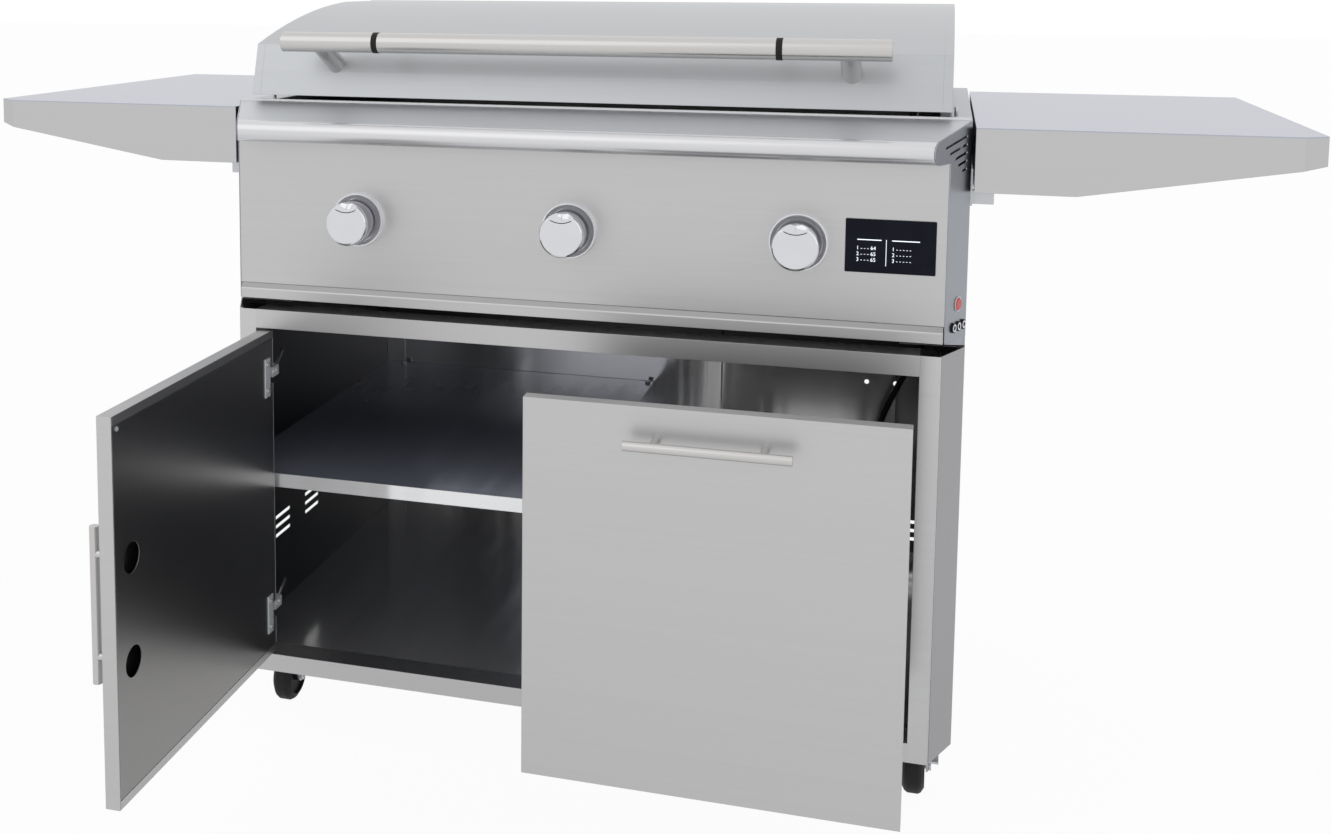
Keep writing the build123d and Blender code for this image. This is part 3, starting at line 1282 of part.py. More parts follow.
bend_radii = hose_radii(hose_points)
print("hose radii", [round(r) for r in bend_radii])
with BuildPart() as gas_hose:
    with BuildLine() as hose_line:
        FilletPolyline(*hose_points, radius=bend_radii)
    with BuildSketch(Plane(hose_line.line @ 0, z_dir=hose_line.line % 0)):
        Circle(hose_dia / 2)
    sweep()
hose_length = hose_line.wire().length
print("hose length", round(hose_length, 1), "volume ratio",
      round(gas_hose.part.volume / (hose_length * pi * hose_dia ** 2 / 4), 4))
save(gas_hose, "gas_hose")

with BuildPart() as regulator:
    with Locations((*hose_foot, regulator_z)):
        Cylinder(regulator_dia / 2, regulator_height, rotation=(90, 0, 0))
    with Locations((*hose_foot, (regulator_z + hose_end_z) / 2)):
        Cylinder(hose_dia / 2 + 3, hose_end_z - regulator_z)
    with Locations((hose_foot[0] - regulator_dia / 2, hose_foot[1], regulator_z)):
        Cylinder(coupling_dia / 2, coupling_length, rotation=(0, 90, 0))
save(regulator, "regulator")
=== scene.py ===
"""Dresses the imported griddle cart: finishes for steel, trim and rubber, small fittings and the studio."""

import logging
import math
from dataclasses import dataclass, field
from enum import Enum
from typing import Callable, Sequence

import bpy
from mathutils import Matrix, Vector


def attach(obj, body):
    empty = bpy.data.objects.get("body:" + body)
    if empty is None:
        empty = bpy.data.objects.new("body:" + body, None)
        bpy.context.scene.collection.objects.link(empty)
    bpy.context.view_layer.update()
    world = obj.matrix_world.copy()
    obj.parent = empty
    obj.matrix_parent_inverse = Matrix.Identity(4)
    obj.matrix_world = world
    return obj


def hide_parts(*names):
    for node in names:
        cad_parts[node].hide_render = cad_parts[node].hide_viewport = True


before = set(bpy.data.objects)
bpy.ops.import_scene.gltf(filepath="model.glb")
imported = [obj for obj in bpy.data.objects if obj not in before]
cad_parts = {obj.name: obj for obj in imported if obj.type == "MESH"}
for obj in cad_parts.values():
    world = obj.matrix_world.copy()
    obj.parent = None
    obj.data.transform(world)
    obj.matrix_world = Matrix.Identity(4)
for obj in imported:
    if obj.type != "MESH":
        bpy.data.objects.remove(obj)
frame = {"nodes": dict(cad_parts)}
log = logging.getLogger("griddle_cart")

Point = tuple[float, float, float]
Pair = tuple[float, float]
Material = bpy.types.Material
Socket = bpy.types.NodeSocket
Piece = bpy.types.Object

# The cart's face plane in the shared frame, in metres: depths below are counted back from it
FACE_Y: float = -0.13473
IMAGE_SIZE: tuple[int, int] = (1331, 834)
UP: Point = (0.0, 0.0, 1.0)
WHITE: Point = (1.0, 1.0, 1.0)
# A face counts as looking along an axis if its unit normal has more than this share of it
FACING: float = 0.9
# Edges sharper than the first angle are rounded, and faces that meet below the second are shaded smooth
SHARP: float = math.radians(40)
SMOOTH: float = math.radians(35)
# Nearly all values of a noise pattern lie in this range
NOISE_RANGE: Pair = (0.25, 0.75)


class Grain(Enum):
    """Way that the brushing of a steel sheet runs, in cells per metre along each axis."""

    ALONG_X = (12.0, 2600.0, 2600.0)
    ALONG_Y = (2600.0, 12.0, 2600.0)
    ALONG_Z = (2600.0, 2600.0, 12.0)
    NONE = (300.0, 300.0, 300.0)


class Side(Enum):
    """Left or right of the cart, as seen from the front."""

    LEFT = -1
    RIGHT = 1


class Rule(Enum):
    """Way that two values of a node tree are taken together."""

    LARGER = "MAXIMUM"
    PRODUCT = "MULTIPLY"
    ABOVE = "GREATER_THAN"
    BELOW = "LESS_THAN"


def new_material(name: str) -> tuple[Material, bpy.types.Node]:
    """Make an empty node material.

    Args:
        name: Name of the material.

    Returns:
        The material and its Principled shader.
    """
    material = bpy.data.materials.new(name)
    material.use_nodes = True
    return material, material.node_tree.nodes["Principled BSDF"]


def combined(tree: bpy.types.NodeTree, rule: Rule, first: Socket, second: Socket | float) -> Socket:
    """Take two values together in a Math node.

    Args:
        tree: Node tree that gets the node.
        rule: How they are taken together.
        first: First value.
        second: Second value, as a socket or a number.

    Returns:
        The result's socket.
    """
    node = tree.nodes.new("ShaderNodeMath")
    node.operation = rule.value
    tree.links.new(first, node.inputs[0])
    if isinstance(second, Socket):
        tree.links.new(second, node.inputs[1])
    else:
        node.inputs[1].default_value = second
    return node.outputs["Value"]


def object_axes(material: Material) -> bpy.types.Node:
    """Split Object coordinates into their axes.

    Args:
        material: Material that gets the nodes.

    Returns:
        The node with an output for each axis.
    """
    nodes = material.node_tree.nodes
    coords = nodes.new("ShaderNodeTexCoord")
    axes = nodes.new("ShaderNodeSeparateXYZ")
    material.node_tree.links.new(coords.outputs["Object"], axes.inputs["Vector"])
    return axes


def noise_at(material: Material, scale: Sequence[float], detail: float) -> Socket:
    """Add a noise pattern on Object coordinates.

    Args:
        material: Material that gets the nodes.
        scale: Cells per metre along each axis.
        detail: Octaves of the noise.

    Returns:
        The noise's factor socket.
    """
    nodes, links = material.node_tree.nodes, material.node_tree.links
    coords = nodes.new("ShaderNodeTexCoord")
    mapping = nodes.new("ShaderNodeMapping")
    mapping.inputs["Scale"].default_value = scale
    noise = nodes.new("ShaderNodeTexNoise")
    noise.inputs["Scale"].default_value = 1.0
    noise.inputs["Detail"].default_value = detail
    links.new(coords.outputs["Object"], mapping.inputs["Vector"])
    links.new(mapping.outputs["Vector"], noise.inputs["Vector"])
    return noise.outputs["Fac"]


def spread(material: Material, source: Socket, low: float, high: float,
           reach: Pair = NOISE_RANGE) -> Socket:
    """Map a value onto a range of values.

    Args:
        material: Material that gets the node.
        source: The value.
        low: Result at the start of the reach.
        high: Result at the end of the reach.
        reach: Values between which the result changes.

    Returns:
        The mapped value's socket.
    """
    ramp = material.node_tree.nodes.new("ShaderNodeMapRange")
    ramp.inputs["From Min"].default_value = reach[0]
    ramp.inputs["From Max"].default_value = reach[1]
    ramp.inputs["To Min"].default_value = low
    ramp.inputs["To Max"].default_value = high
    material.node_tree.links.new(source, ramp.inputs["Value"])
    return ramp.outputs["Result"]


def scaled(tone: Point, share: float) -> Point:
    """Make a tone darker or lighter by a share."""
    return tuple(c * share for c in tone)


def tinted(material: Material, source: Socket, dark: Point, light: Point) -> Socket:
    """Mix two colours by a factor.

    Args:
        material: Material that gets the node.
        source: Factor from 0 to 1.
        dark: Colour at the low end.
        light: Colour at the high end.

    Returns:
        The mixed colour's socket.
    """
    mix = material.node_tree.nodes.new("ShaderNodeMix")
    mix.data_type = "RGBA"
    mix.inputs["A"].default_value = (*dark, 1.0)
    mix.inputs["B"].default_value = (*light, 1.0)
    material.node_tree.links.new(source, mix.inputs["Factor"])
    return mix.outputs["Result"]


def bumped(material: Material, source: Socket, depth: float, edge: float = 0.0) -> Socket:
    """Raise a surface by a factor over softened edges.

    Args:
        material: Material that gets the nodes.
        source: Height factor from 0 to 1.
        depth: Height of the relief in metres.
        edge: Radius of the edge softening in metres, or 0 for none.

    Returns:
        The normal's socket.
    """
    nodes, links = material.node_tree.nodes, material.node_tree.links
    bump = nodes.new("ShaderNodeBump")
    bump.inputs["Strength"].default_value = 1.0
    bump.inputs["Distance"].default_value = depth
    links.new(source, bump.inputs["Height"])
    if edge > 0:
        bevel = nodes.new("ShaderNodeBevel")
        bevel.samples = 4
        bevel.inputs["Radius"].default_value = edge
        links.new(bevel.outputs["Normal"], bump.inputs["Normal"])
    return bump.outputs["Normal"]


def deselect() -> None:
    """Leave nothing selected."""
    bpy.ops.object.select_all(action="DESELECT")


def select(parts: Sequence[Piece]) -> None:
    """Select only some parts and make the first one active.

    Args:
        parts: Mesh objects.
    """
    deselect()
    for part in parts:
        part.select_set(True)
    bpy.context.view_layer.objects.active = parts[0]


def block(middle: Point, size: Point, turn: Point = (0.0, 0.0, 0.0)) -> Piece:
    """Add a block with its place, turn and size applied.

    Args:
        middle: Its centre.
        size: Its edges.
        turn: Its angles about X, Y and Z.

    Returns:
        The block, active and selected.
    """
    deselect()
    bpy.ops.mesh.primitive_cube_add(size=1.0, location=middle, rotation=turn, scale=size)
    bpy.ops.object.transform_apply(location=True, rotation=True, scale=True)
    return bpy.context.object


def disc(radius: float, height: float, sides: int) -> Piece:
    """Add a disc that stands on the origin along +Z.

    Args:
        radius: Its radius.
        height: Its height.
        sides: Steps of its rim.

    Returns:
        The disc, active and selected.
    """
    deselect()
    bpy.ops.mesh.primitive_cylinder_add(vertices=sides, radius=radius, depth=height,
                                        location=(0.0, 0.0, height / 2))
    bpy.ops.object.transform_apply(location=True)
    return bpy.context.object


def pick_faces(obj: Piece, wanted: Callable[[bpy.types.MeshPolygon], bool]) -> None:
    """Go into edit mode with only some faces selected.

    Args:
        obj: The active mesh object.
        wanted: Says of each face whether it is selected.
    """
    bpy.ops.object.mode_set(mode="EDIT")
    bpy.ops.mesh.select_mode(type="FACE")
    bpy.ops.mesh.select_all(action="DESELECT")
    bpy.ops.object.mode_set(mode="OBJECT")
    for face in obj.data.polygons:
        face.select = wanted(face)
    bpy.ops.object.mode_set(mode="EDIT")


def soften(obj: Piece, width: float, segments: int = 2) -> None:
    """Round the sharp edges of a piece and shade it smooth.

    Args:
        obj: The active mesh object, in any mode.
        width: Width of the rounding in metres.
        segments: Steps of the rounding.
    """
    bpy.ops.object.mode_set(mode="OBJECT")
    bevel = obj.modifiers.new("edges", "BEVEL")
    bevel.width = width
    bevel.segments = segments
    bevel.limit_method = "ANGLE"
    bevel.angle_limit = SHARP
    bpy.ops.object.modifier_apply(modifier=bevel.name)
    bpy.ops.object.shade_smooth_by_angle(angle=SMOOTH)


def join(parts: Sequence[Piece]) -> Piece:
    """Join parts into one piece.

    Args:
        parts: Mesh objects.

    Returns:
        The joined piece, active and selected.
    """
    select(parts)
    if len(parts) > 1:
        bpy.ops.object.join()
    return bpy.context.object


def mirror(obj: Piece) -> None:
    """Add the other side of a piece, across the cart's middle plane.

    Args:
        obj: The active mesh object, with its origin on that plane.
    """
    twin = obj.modifiers.new("twin", "MIRROR")
    twin.use_mirror_merge = False
    bpy.ops.object.modifier_apply(modifier=twin.name)
    bpy.ops.object.mode_set(mode="EDIT")
    bpy.ops.mesh.select_all(action="SELECT")
    bpy.ops.mesh.normals_make_consistent(inside=False)
    bpy.ops.object.mode_set(mode="OBJECT")


@dataclass(frozen=True)
class Spot:
    """Where a small fitting sits and the way it faces."""

    place: Point
    facing: Point


def set_out(model: Piece, spots: Sequence[Spot]) -> Piece:
    """Copy a fitting to its places and join the copies into one piece.

    Args:
        model: The fitting, standing on the origin along +Z.
        spots: The places.

    Returns:
        The joined piece.
    """
    copies = []
    for spot in spots:
        select([model])
        bpy.ops.object.duplicate()
        copy = bpy.context.object
        copy.location = spot.place
        copy.rotation_euler = Vector(spot.facing).to_track_quat("Z", "Y").to_euler()
        copies.append(copy)
    bpy.data.objects.remove(model)
    return join(copies)


@dataclass(frozen=True)
class ToneRegion:
    """Region of a piece with a tone and roughness of its own, mostly painted shade and painted reflections,
    such as the painted shade on the side of a sheet that faces a bay.
    """

    tone: Point
    low: Point
    high: Point
    roughness: float

    def mask(self, material: Material) -> Socket:
        """Mark the region on Object coordinates.

        Args:
            material: Material that gets the nodes.

        Returns:
            A socket with 1 inside the region and 0 outside.
        """
        tree = material.node_tree
        axes = object_axes(material)
        inside = None
        for axis, low, high in zip("XYZ", self.low, self.high):
            for rule, limit in ((Rule.ABOVE, low), (Rule.BELOW, high)):
                test = combined(tree, rule, axes.outputs[axis], limit)
                inside = test if inside is None else combined(tree, Rule.PRODUCT, inside, test)
        return inside

    def lay_over(self, material: Material, colour: Socket, rough: Socket) -> tuple[Socket, Socket]:
        """Lay the region's look over that of the whole sheet.

        Args:
            material: Material that gets the nodes.
            colour: Colour of the whole sheet.
            rough: Roughness of the whole sheet.

        Returns:
            The sockets of the colour and the roughness with the region in them.
        """
        links = material.node_tree.links
        mask = self.mask(material)
        region_colour = tinted(material, mask, self.tone, self.tone)
        links.new(colour, region_colour.node.inputs["A"])
        region_rough = material.node_tree.nodes.new("ShaderNodeMix")
        links.new(mask, region_rough.inputs["Factor"])
        links.new(rough, region_rough.inputs["A"])
        region_rough.inputs["B"].default_value = self.roughness
        return region_colour, region_rough.outputs["Result"]


@dataclass(frozen=True)
class BrushedSteel:
    """Steel sheet with a brushed grain, or cast or plated metal with an even one."""

    name: str
    tone: Point
    grain: Grain
    roughness: float
    variation: float = 0.015
    relief: float = 0.0000006
    edge: float = 0.0009
    metallic: float = 1.0
    wave: float = 0.0
    tone_regions: Sequence[ToneRegion] = ()
    grain_octaves: float = 3.0
    coarse_octaves: float = 2.0
    streak_width: float = 10.0
    rough_shares: Pair = (0.9, 1.1)
    wave_cells: Point = (14.0, 0.8, 0.8)

    def build(self) -> Material:
        """Make the material.

        Returns:
            Metal with grain in its roughness and relief, streaks of tone and the slight wave of thin sheet.
        """
        material, shader = new_material(self.name)
        links = material.node_tree.links
        grain = noise_at(material, self.grain.value, self.grain_octaves)
        streak_cells = tuple(cells / self.streak_width for cells in self.grain.value)
        streak = spread(material, noise_at(material, streak_cells, self.coarse_octaves), 0.0, 1.0)
        dark, light = scaled(self.tone, 1 - self.variation), scaled(self.tone, 1 + self.variation)
        colour = tinted(material, streak, dark, light)
        rough = spread(material, grain, *(self.roughness * share for share in self.rough_shares))
        # Tone regions lay painted shade and painted reflections into the colour; FRAME_RAILS only changes
        # roughness
        for tone_region in self.tone_regions:
            colour, rough = tone_region.lay_over(material, colour, rough)
        normal = bumped(material, grain, self.relief, self.edge)
        if self.wave > 0:
            dents = bumped(material, noise_at(material, self.wave_cells, self.coarse_octaves), self.wave)
            links.new(normal, dents.node.inputs["Normal"])
            normal = dents
        shader.inputs["Metallic"].default_value = self.metallic
        links.new(colour, shader.inputs["Base Color"])
        links.new(rough, shader.inputs["Roughness"])
        links.new(normal, shader.inputs["Normal"])
        return material


@dataclass(frozen=True)
class PolishedMetal:
    """Bright metal with faint handling marks."""

    name: str
    tone: Point
    roughness: float
    smear_cells: float = 60.0
    smear_octaves: float = 4.0
    smear_shares: Pair = (0.6, 1.6)
    relief: float = 0.000002
    edge: float = 0.0006

    def build(self) -> Material:
        """Make the material.

        Returns:
            Mirror-like metal whose roughness varies a little.
        """
        material, shader = new_material(self.name)
        links = material.node_tree.links
        smear = noise_at(material, (self.smear_cells,) * 3, self.smear_octaves)
        rough = spread(material, smear, *(self.roughness * share for share in self.smear_shares))
        shader.inputs["Metallic"].default_value = 1.0
        shader.inputs["Base Color"].default_value = (*self.tone, 1.0)
        links.new(rough, shader.inputs["Roughness"])
        links.new(bumped(material, smear, self.relief, self.edge), shader.inputs["Normal"])
        return material


@dataclass(frozen=True)
class MouldedSurface:
    """Plastic, rubber, or the griddle plate made near black as painted shade, with a fine texture."""

    name: str
    tone: Point
    roughness: float
    texture: float = 900.0
    relief: float = 0.00003
    gloss: float = 0.5
    octaves: float = 3.0
    wear_cells: float = 25.0
    wear_shares: Pair = (0.8, 1.25)
    wear_lift: float = 0.002
    rough_shares: Pair = (0.85, 1.15)

    def build(self) -> Material:
        """Make the material.

        Returns:
            A dielectric with fine relief and slight changes of tone.
        """
        material, shader = new_material(self.name)
        links = material.node_tree.links
        speck = noise_at(material, (self.texture,) * 3, self.octaves)
        wear = noise_at(material, (self.wear_cells,) * 3, self.octaves)
        dark = scaled(self.tone, self.wear_shares[0])
        light = tuple(min(1.0, c + self.wear_lift) for c in scaled(self.tone, self.wear_shares[1]))
        colour = tinted(material, spread(material, wear, 0.0, 1.0), dark, light)
        rough = spread(material, wear, *(self.roughness * share for share in self.rough_shares))
        shader.inputs["Specular IOR Level"].default_value = self.gloss
        links.new(colour, shader.inputs["Base Color"])
        links.new(rough, shader.inputs["Roughness"])
        links.new(bumped(material, speck, self.relief), shader.inputs["Normal"])
        return material


@dataclass(frozen=True)
class LitSurface:
    """A surface that glows: the lit figures on a screen, and the push button, whose faint glow is painted
    light.
    """

    name: str
    tone: Point
    glow: float
    roughness: float = 0.25
    cloud_cells: float = 400.0
    cloud_octaves: float = 1.0
    cloud_share: float = 0.92

    def build(self) -> Material:
        """Make the material.

        Returns:
            A smooth surface with emission in its own colour.
        """
        material, shader = new_material(self.name)
        cloud = noise_at(material, (self.cloud_cells,) * 3, self.cloud_octaves)
        colour = tinted(material, cloud, scaled(self.tone, self.cloud_share), self.tone)
        material.node_tree.links.new(colour, shader.inputs["Base Color"])
        shader.inputs["Roughness"].default_value = self.roughness
        shader.inputs["Emission Color"].default_value = (*self.tone, 1.0)
        shader.inputs["Emission Strength"].default_value = self.glow
        return material


Finish = BrushedSteel | PolishedMetal | MouldedSurface | LitSurface
STEEL: Point = (0.55, 0.548, 0.55)
SHEET_WAVE: float = 0.0025

# Regions with a look of their own: tone, lower corner, upper corner and roughness. FAR is beyond the cart.
# FRAME_RAILS only changes roughness; the others are painted shade and painted reflections.
FAR: float = 2.0
FRAME_RAILS = ToneRegion(STEEL, (-0.459, -FAR, 0.0), (0.459, FAR, FAR), 0.38)
# Painted shade: the faces of the side panels that look into the bays are near black
BAY_WALLS_PAINTED_SHADE = ToneRegion((0.05, 0.05, 0.052), (-0.5132, FACE_Y + 0.069, 0.0), (0.5132, FAR, FAR), 0.32)
# Painted shade: the right-hand end of the rear panel, past the hose, is dark grey
BAY_END_PAINTED_SHADE = ToneRegion((0.17, 0.17, 0.17), (0.4145, 0.53, 0.13), (FAR, FAR, FAR), 0.16)
# Painted shade: the upper part of the rear panel inside the bays is near black
BAY_TOP_PAINTED_SHADE = ToneRegion((0.04, 0.04, 0.04), (-FAR, 0.53, 0.487), (FAR, FAR, FAR), 0.40)
# Painted reflection: the inner shelf behind its front lip has a darker bluish tone for what it mirrors
BAY_SHELF_PAINTED_REFLECTION = ToneRegion((0.45, 0.48, 0.585), (-FAR, FACE_Y + 0.0148, 0.0), (FAR, FAR, FAR), 0.15)
# Painted reflection: the flat of the deck behind the nose has its own tone and roughness, set to how bright
# it shows from what it mirrors
DECK_FLAT_PAINTED_REFLECTION = ToneRegion((0.68, 0.69, 0.71), (-FAR, FACE_Y - 0.0189, 0.9), (FAR, FACE_Y + 0.0740, FAR), 0.5)
# Painted reflection: the tops of the side shelves have a darker bluish tone for what they mirror
SHELF_TOP_PAINTED_REFLECTION = ToneRegion((0.445, 0.46, 0.525), (-FAR, -FAR, 0.9235), (FAR, FAR, FAR), 0.30)
# Painted reflection: the upper slope of the drip tray's front is darker, in place of the dim reflection it
# shows
TRAY_SLOPE_PAINTED_REFLECTION = ToneRegion((0.34, 0.34, 0.345), (-FAR, -FAR, 0.6686), (FAR, -0.115, FAR), 0.38)
# Painted reflection: the knobs' sides behind the front edge are darker, for the dark surroundings they
# mirror
KNOB_SIDE_PAINTED_REFLECTION = ToneRegion((0.33, 0.325, 0.36), (-FAR, FACE_Y - 0.0305, 0.0), (FAR, FAR, FAR), 0.10)

FINISHES: dict[str, Finish] = {
    "front": BrushedSteel("front_steel", STEEL, Grain.ALONG_X, 0.38),
    "tray": BrushedSteel("tray_steel", STEEL, Grain.ALONG_X, 0.38, tone_regions=(TRAY_SLOPE_PAINTED_REFLECTION,)),
    "deck": BrushedSteel("deck_steel", (0.72, 0.72, 0.73), Grain.ALONG_X, 0.24, metallic=0.7,
                         tone_regions=(DECK_FLAT_PAINTED_REFLECTION,)),
    "lid": BrushedSteel("lid_steel", (0.50, 0.512, 0.53), Grain.ALONG_X, 0.38),
    "shelf": BrushedSteel("shelf_steel", (0.53, 0.528, 0.535), Grain.ALONG_X, 0.30, variation=0.008,
                          tone_regions=(SHELF_TOP_PAINTED_REFLECTION,)),
    "frame": BrushedSteel("frame_steel", STEEL, Grain.ALONG_X, 0.20, tone_regions=(FRAME_RAILS,)),
    "side": BrushedSteel("side_steel", (0.345, 0.36, 0.39), Grain.ALONG_Y, 0.32),
    "wall": BrushedSteel("wall_steel", (0.37, 0.365, 0.375), Grain.ALONG_Y, 0.32, tone_regions=(BAY_WALLS_PAINTED_SHADE,)),
    "inner": BrushedSteel("inner_steel", (0.30, 0.295, 0.29), Grain.ALONG_X, 0.30),
    "bay": BrushedSteel("bay_steel", (0.66, 0.655, 0.65), Grain.ALONG_Z, 0.16, metallic=0.78,
                        wave=SHEET_WAVE, tone_regions=(BAY_END_PAINTED_SHADE, BAY_TOP_PAINTED_SHADE)),
    "bay_shelf": BrushedSteel("bay_shelf_steel", (0.97, 0.97, 0.98), Grain.ALONG_X, 0.15, metallic=0.6,
                              wave=SHEET_WAVE, tone_regions=(BAY_SHELF_PAINTED_REFLECTION,)),
    "sooted": BrushedSteel("sooted_steel", (0.10, 0.10, 0.10), Grain.ALONG_X, 0.45),
    "bar": BrushedSteel("bar_steel", (0.58, 0.57, 0.56), Grain.ALONG_X, 0.24),
    # Painted shade: the griddle plate is near black so that the gap under the lid shows dark
    "plate": MouldedSurface("plate_painted_shade", (0.014, 0.013, 0.012), 0.75, texture=250.0, gloss=0.04),
    "zinc": BrushedSteel("zinc_plate", (0.60, 0.61, 0.63), Grain.NONE, 0.30, metallic=0.8),
    "nickel": BrushedSteel("nickel_plate", (0.84, 0.85, 0.86), Grain.NONE, 0.25, metallic=0.4),
    "casting": BrushedSteel("casting", (0.45, 0.45, 0.46), Grain.NONE, 0.5, relief=0.00003),
    "chrome": BrushedSteel("bright_trim", (0.66, 0.67, 0.69), Grain.NONE, 0.04, tone_regions=(KNOB_SIDE_PAINTED_REFLECTION,)),
    "bezel": BrushedSteel("bezel_trim", (0.93, 0.93, 0.95), Grain.NONE, 0.18, metallic=0.4),
    "brass": PolishedMetal("brass", (0.62, 0.48, 0.22), 0.25),
    "black_plastic": MouldedSurface("black_plastic", (0.008, 0.008, 0.012), 0.35, gloss=0.2),
    "rubber": MouldedSurface("rubber", (0.012, 0.012, 0.012), 0.6, gloss=0.25),
    "tyre": MouldedSurface("tyre", (0.015, 0.015, 0.016), 0.55, texture=500.0, gloss=0.25),
    "screen": MouldedSurface("screen_glass", (0.005, 0.006, 0.014), 0.12, texture=300.0,
                             relief=0.0000005, gloss=0.1),
    "figures": LitSurface("screen_figures", (0.85, 0.9, 1.0), 0.9),
    # Painted light: the push button glows faintly in its own red
    "red": LitSurface("red_button_painted_glow", (0.50, 0.045, 0.05), 0.25),
    # Painted shade: the dark ring in the crease round each knob's scoop
    "painted_crease_shade": MouldedSurface("painted_crease_shade", (0.03, 0.03, 0.034), 0.5, gloss=0.2),
    "pale_ring": MouldedSurface("pale_ring", (0.72, 0.72, 0.72), 0.35),
}
NODE_FINISH: dict[str, str] = {
    "face_frame": "frame", "rear_panel": "bay", "cart_floor": "bay", "inner_shelf": "bay_shelf",
    "left_side_panel": "wall", "right_side_panel": "wall", "left_cheek": "side", "right_cheek": "side",
    "head_rear_panel": "front", "firebox": "sooted", "control_panel": "front", "front_deck": "deck",
    "drip_tray": "tray", "griddle_plate": "plate", "burners": "sooted", "gas_manifold": "inner",
    "gas_valves": "brass", "display": "black_plastic", "probe_jacks": "black_plastic",
    "regulator": "casting", "left_shelf": "shelf", "right_shelf": "shelf", "lid_shell": "lid",
    "lid_end_caps": "lid", "lid_handle": "bar", "handle_rings": "rubber", "door_skin": "front",
    "door_inner_panel": "inner", "door_handle": "bar", "drawer_front_skin": "front",
    "drawer_inner_panel": "inner", "drawer_handle": "bar", "drawer_tray": "bay",
    "drawer_gussets": "bay", "knob_bezels": "bezel", "power_button": "red", "gas_hose": "rubber",
}
PREFIX_FINISH: dict[str, str] = {
    "knob_": "chrome", "valve_stem": "zinc", "caster_wheel": "tyre", "caster_": "zinc",
    "brake_pedal": "zinc", "door_hinge": "nickel", "drawer_": "zinc", "lid_hinges": "zinc",
    "shelf_brackets": "zinc",
}


@dataclass
class Workshop:
    """Keeps the built finishes and places finished pieces."""

    materials: dict[str, Material] = field(default_factory=dict)

    def finish(self, name: str) -> Material:
        """Give a finish's material, made once.

        Args:
            name: Key in FINISHES.

        Returns:
            The material.
        """
        if name not in self.materials:
            self.materials[name] = FINISHES[name].build()
        return self.materials[name]

    def dress_nodes(self, nodes: dict[str, Piece]) -> None:
        """Give every CAD node its finish.

        Args:
            nodes: CAD objects by node name.
        """
        for name, obj in nodes.items():
            key = NODE_FINISH.get(name)
            if key is None:
                key = next((v for k, v in PREFIX_FINISH.items() if name.startswith(k)), "front")
            for slot in obj.material_slots:
                slot.material = self.finish(key)
            log.info("node %s: %s", name, key)

    def settle(self, obj: Piece, name: str, finish: str, body: str) -> None:
        """Name a piece, give it its finish and let it ride on a body.

        Args:
            obj: The piece, with its transform not yet applied.
            name: Name of the piece.
            finish: Key in FINISHES.
            body: CAD body that it moves with.
        """
        obj.name = name
        select([obj])
        bpy.ops.object.transform_apply(location=True, rotation=True, scale=True)
        obj.data.materials.clear()
        obj.data.materials.append(self.finish(finish))
        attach(obj, body)
        log.info("piece %s on %s", name, body)


@dataclass
class GasHose:
    """The rubber hose that hangs from the gas inlet to the regulator."""

    diameter: float = 0.010
    inlet_y: float = FACE_Y + 0.600
    length: float = 0.4487
    # Control points from the inlet down: x, distance behind the inlet and z
    bends: Sequence[Point] = (
        (0.472, 0.0, 0.620), (0.472, 0.0, 0.576), (0.462, 0.008, 0.528), (0.441, 0.020, 0.478),
        (0.416, 0.030, 0.428), (0.395, 0.034, 0.378), (0.381, 0.030, 0.328), (0.375, 0.018, 0.280),
        (0.374, 0.006, 0.240), (0.374, 0.006, 0.1943),
    )

    def build(self, shop: Workshop) -> None:
        """Draw the hose along one smooth spline.

        Args:
            shop: Gives the finish.
        """
        curve = bpy.data.curves.new("gas_hose_line", "CURVE")
        curve.dimensions = "3D"
        spline = curve.splines.new("NURBS")
        points = [(x, self.inlet_y + back, z) for x, back, z in self.bends]
        spline.points.add(len(points) - 1)
        for spot, place in zip(spline.points, points):
            spot.co = (*place, 1.0)
        spline.order_u = 3
        spline.use_endpoint_u = True
        spline.resolution_u = 12
        curve.bevel_depth = self.diameter / 2
        curve.bevel_resolution = 6
        curve.use_fill_caps = True
        curve.materials.append(shop.finish("rubber"))
        hose = bpy.data.objects.new("hose", curve)
        bpy.context.scene.collection.objects.link(hose)
        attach(hose, "cart")
        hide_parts("gas_hose")
        log.info("piece hose on cart")


@dataclass(frozen=True)
class Fastener:
    """A pan-head screw or a hex-head bolt. Recess and rounding are shares of the head's own size."""

    radius: float
    height: float
    sides: int = 24
    wall: float = 0.55
    sink: float = 0.4
    rounding: float = 0.12

    def model(self) -> Piece:
        """Shape one head with its recess, standing on the origin along +Z.

        Returns:
            The head.
        """
        head = disc(self.radius, self.height, self.sides)
        pick_faces(head, lambda face: face.normal.z > FACING)
        bpy.ops.mesh.inset(thickness=self.radius * self.wall)
        sink = (0.0, 0.0, -self.height * self.sink)
        bpy.ops.mesh.extrude_region_move(TRANSFORM_OT_translate={"value": sink})
        soften(head, self.radius * self.rounding)
        return head


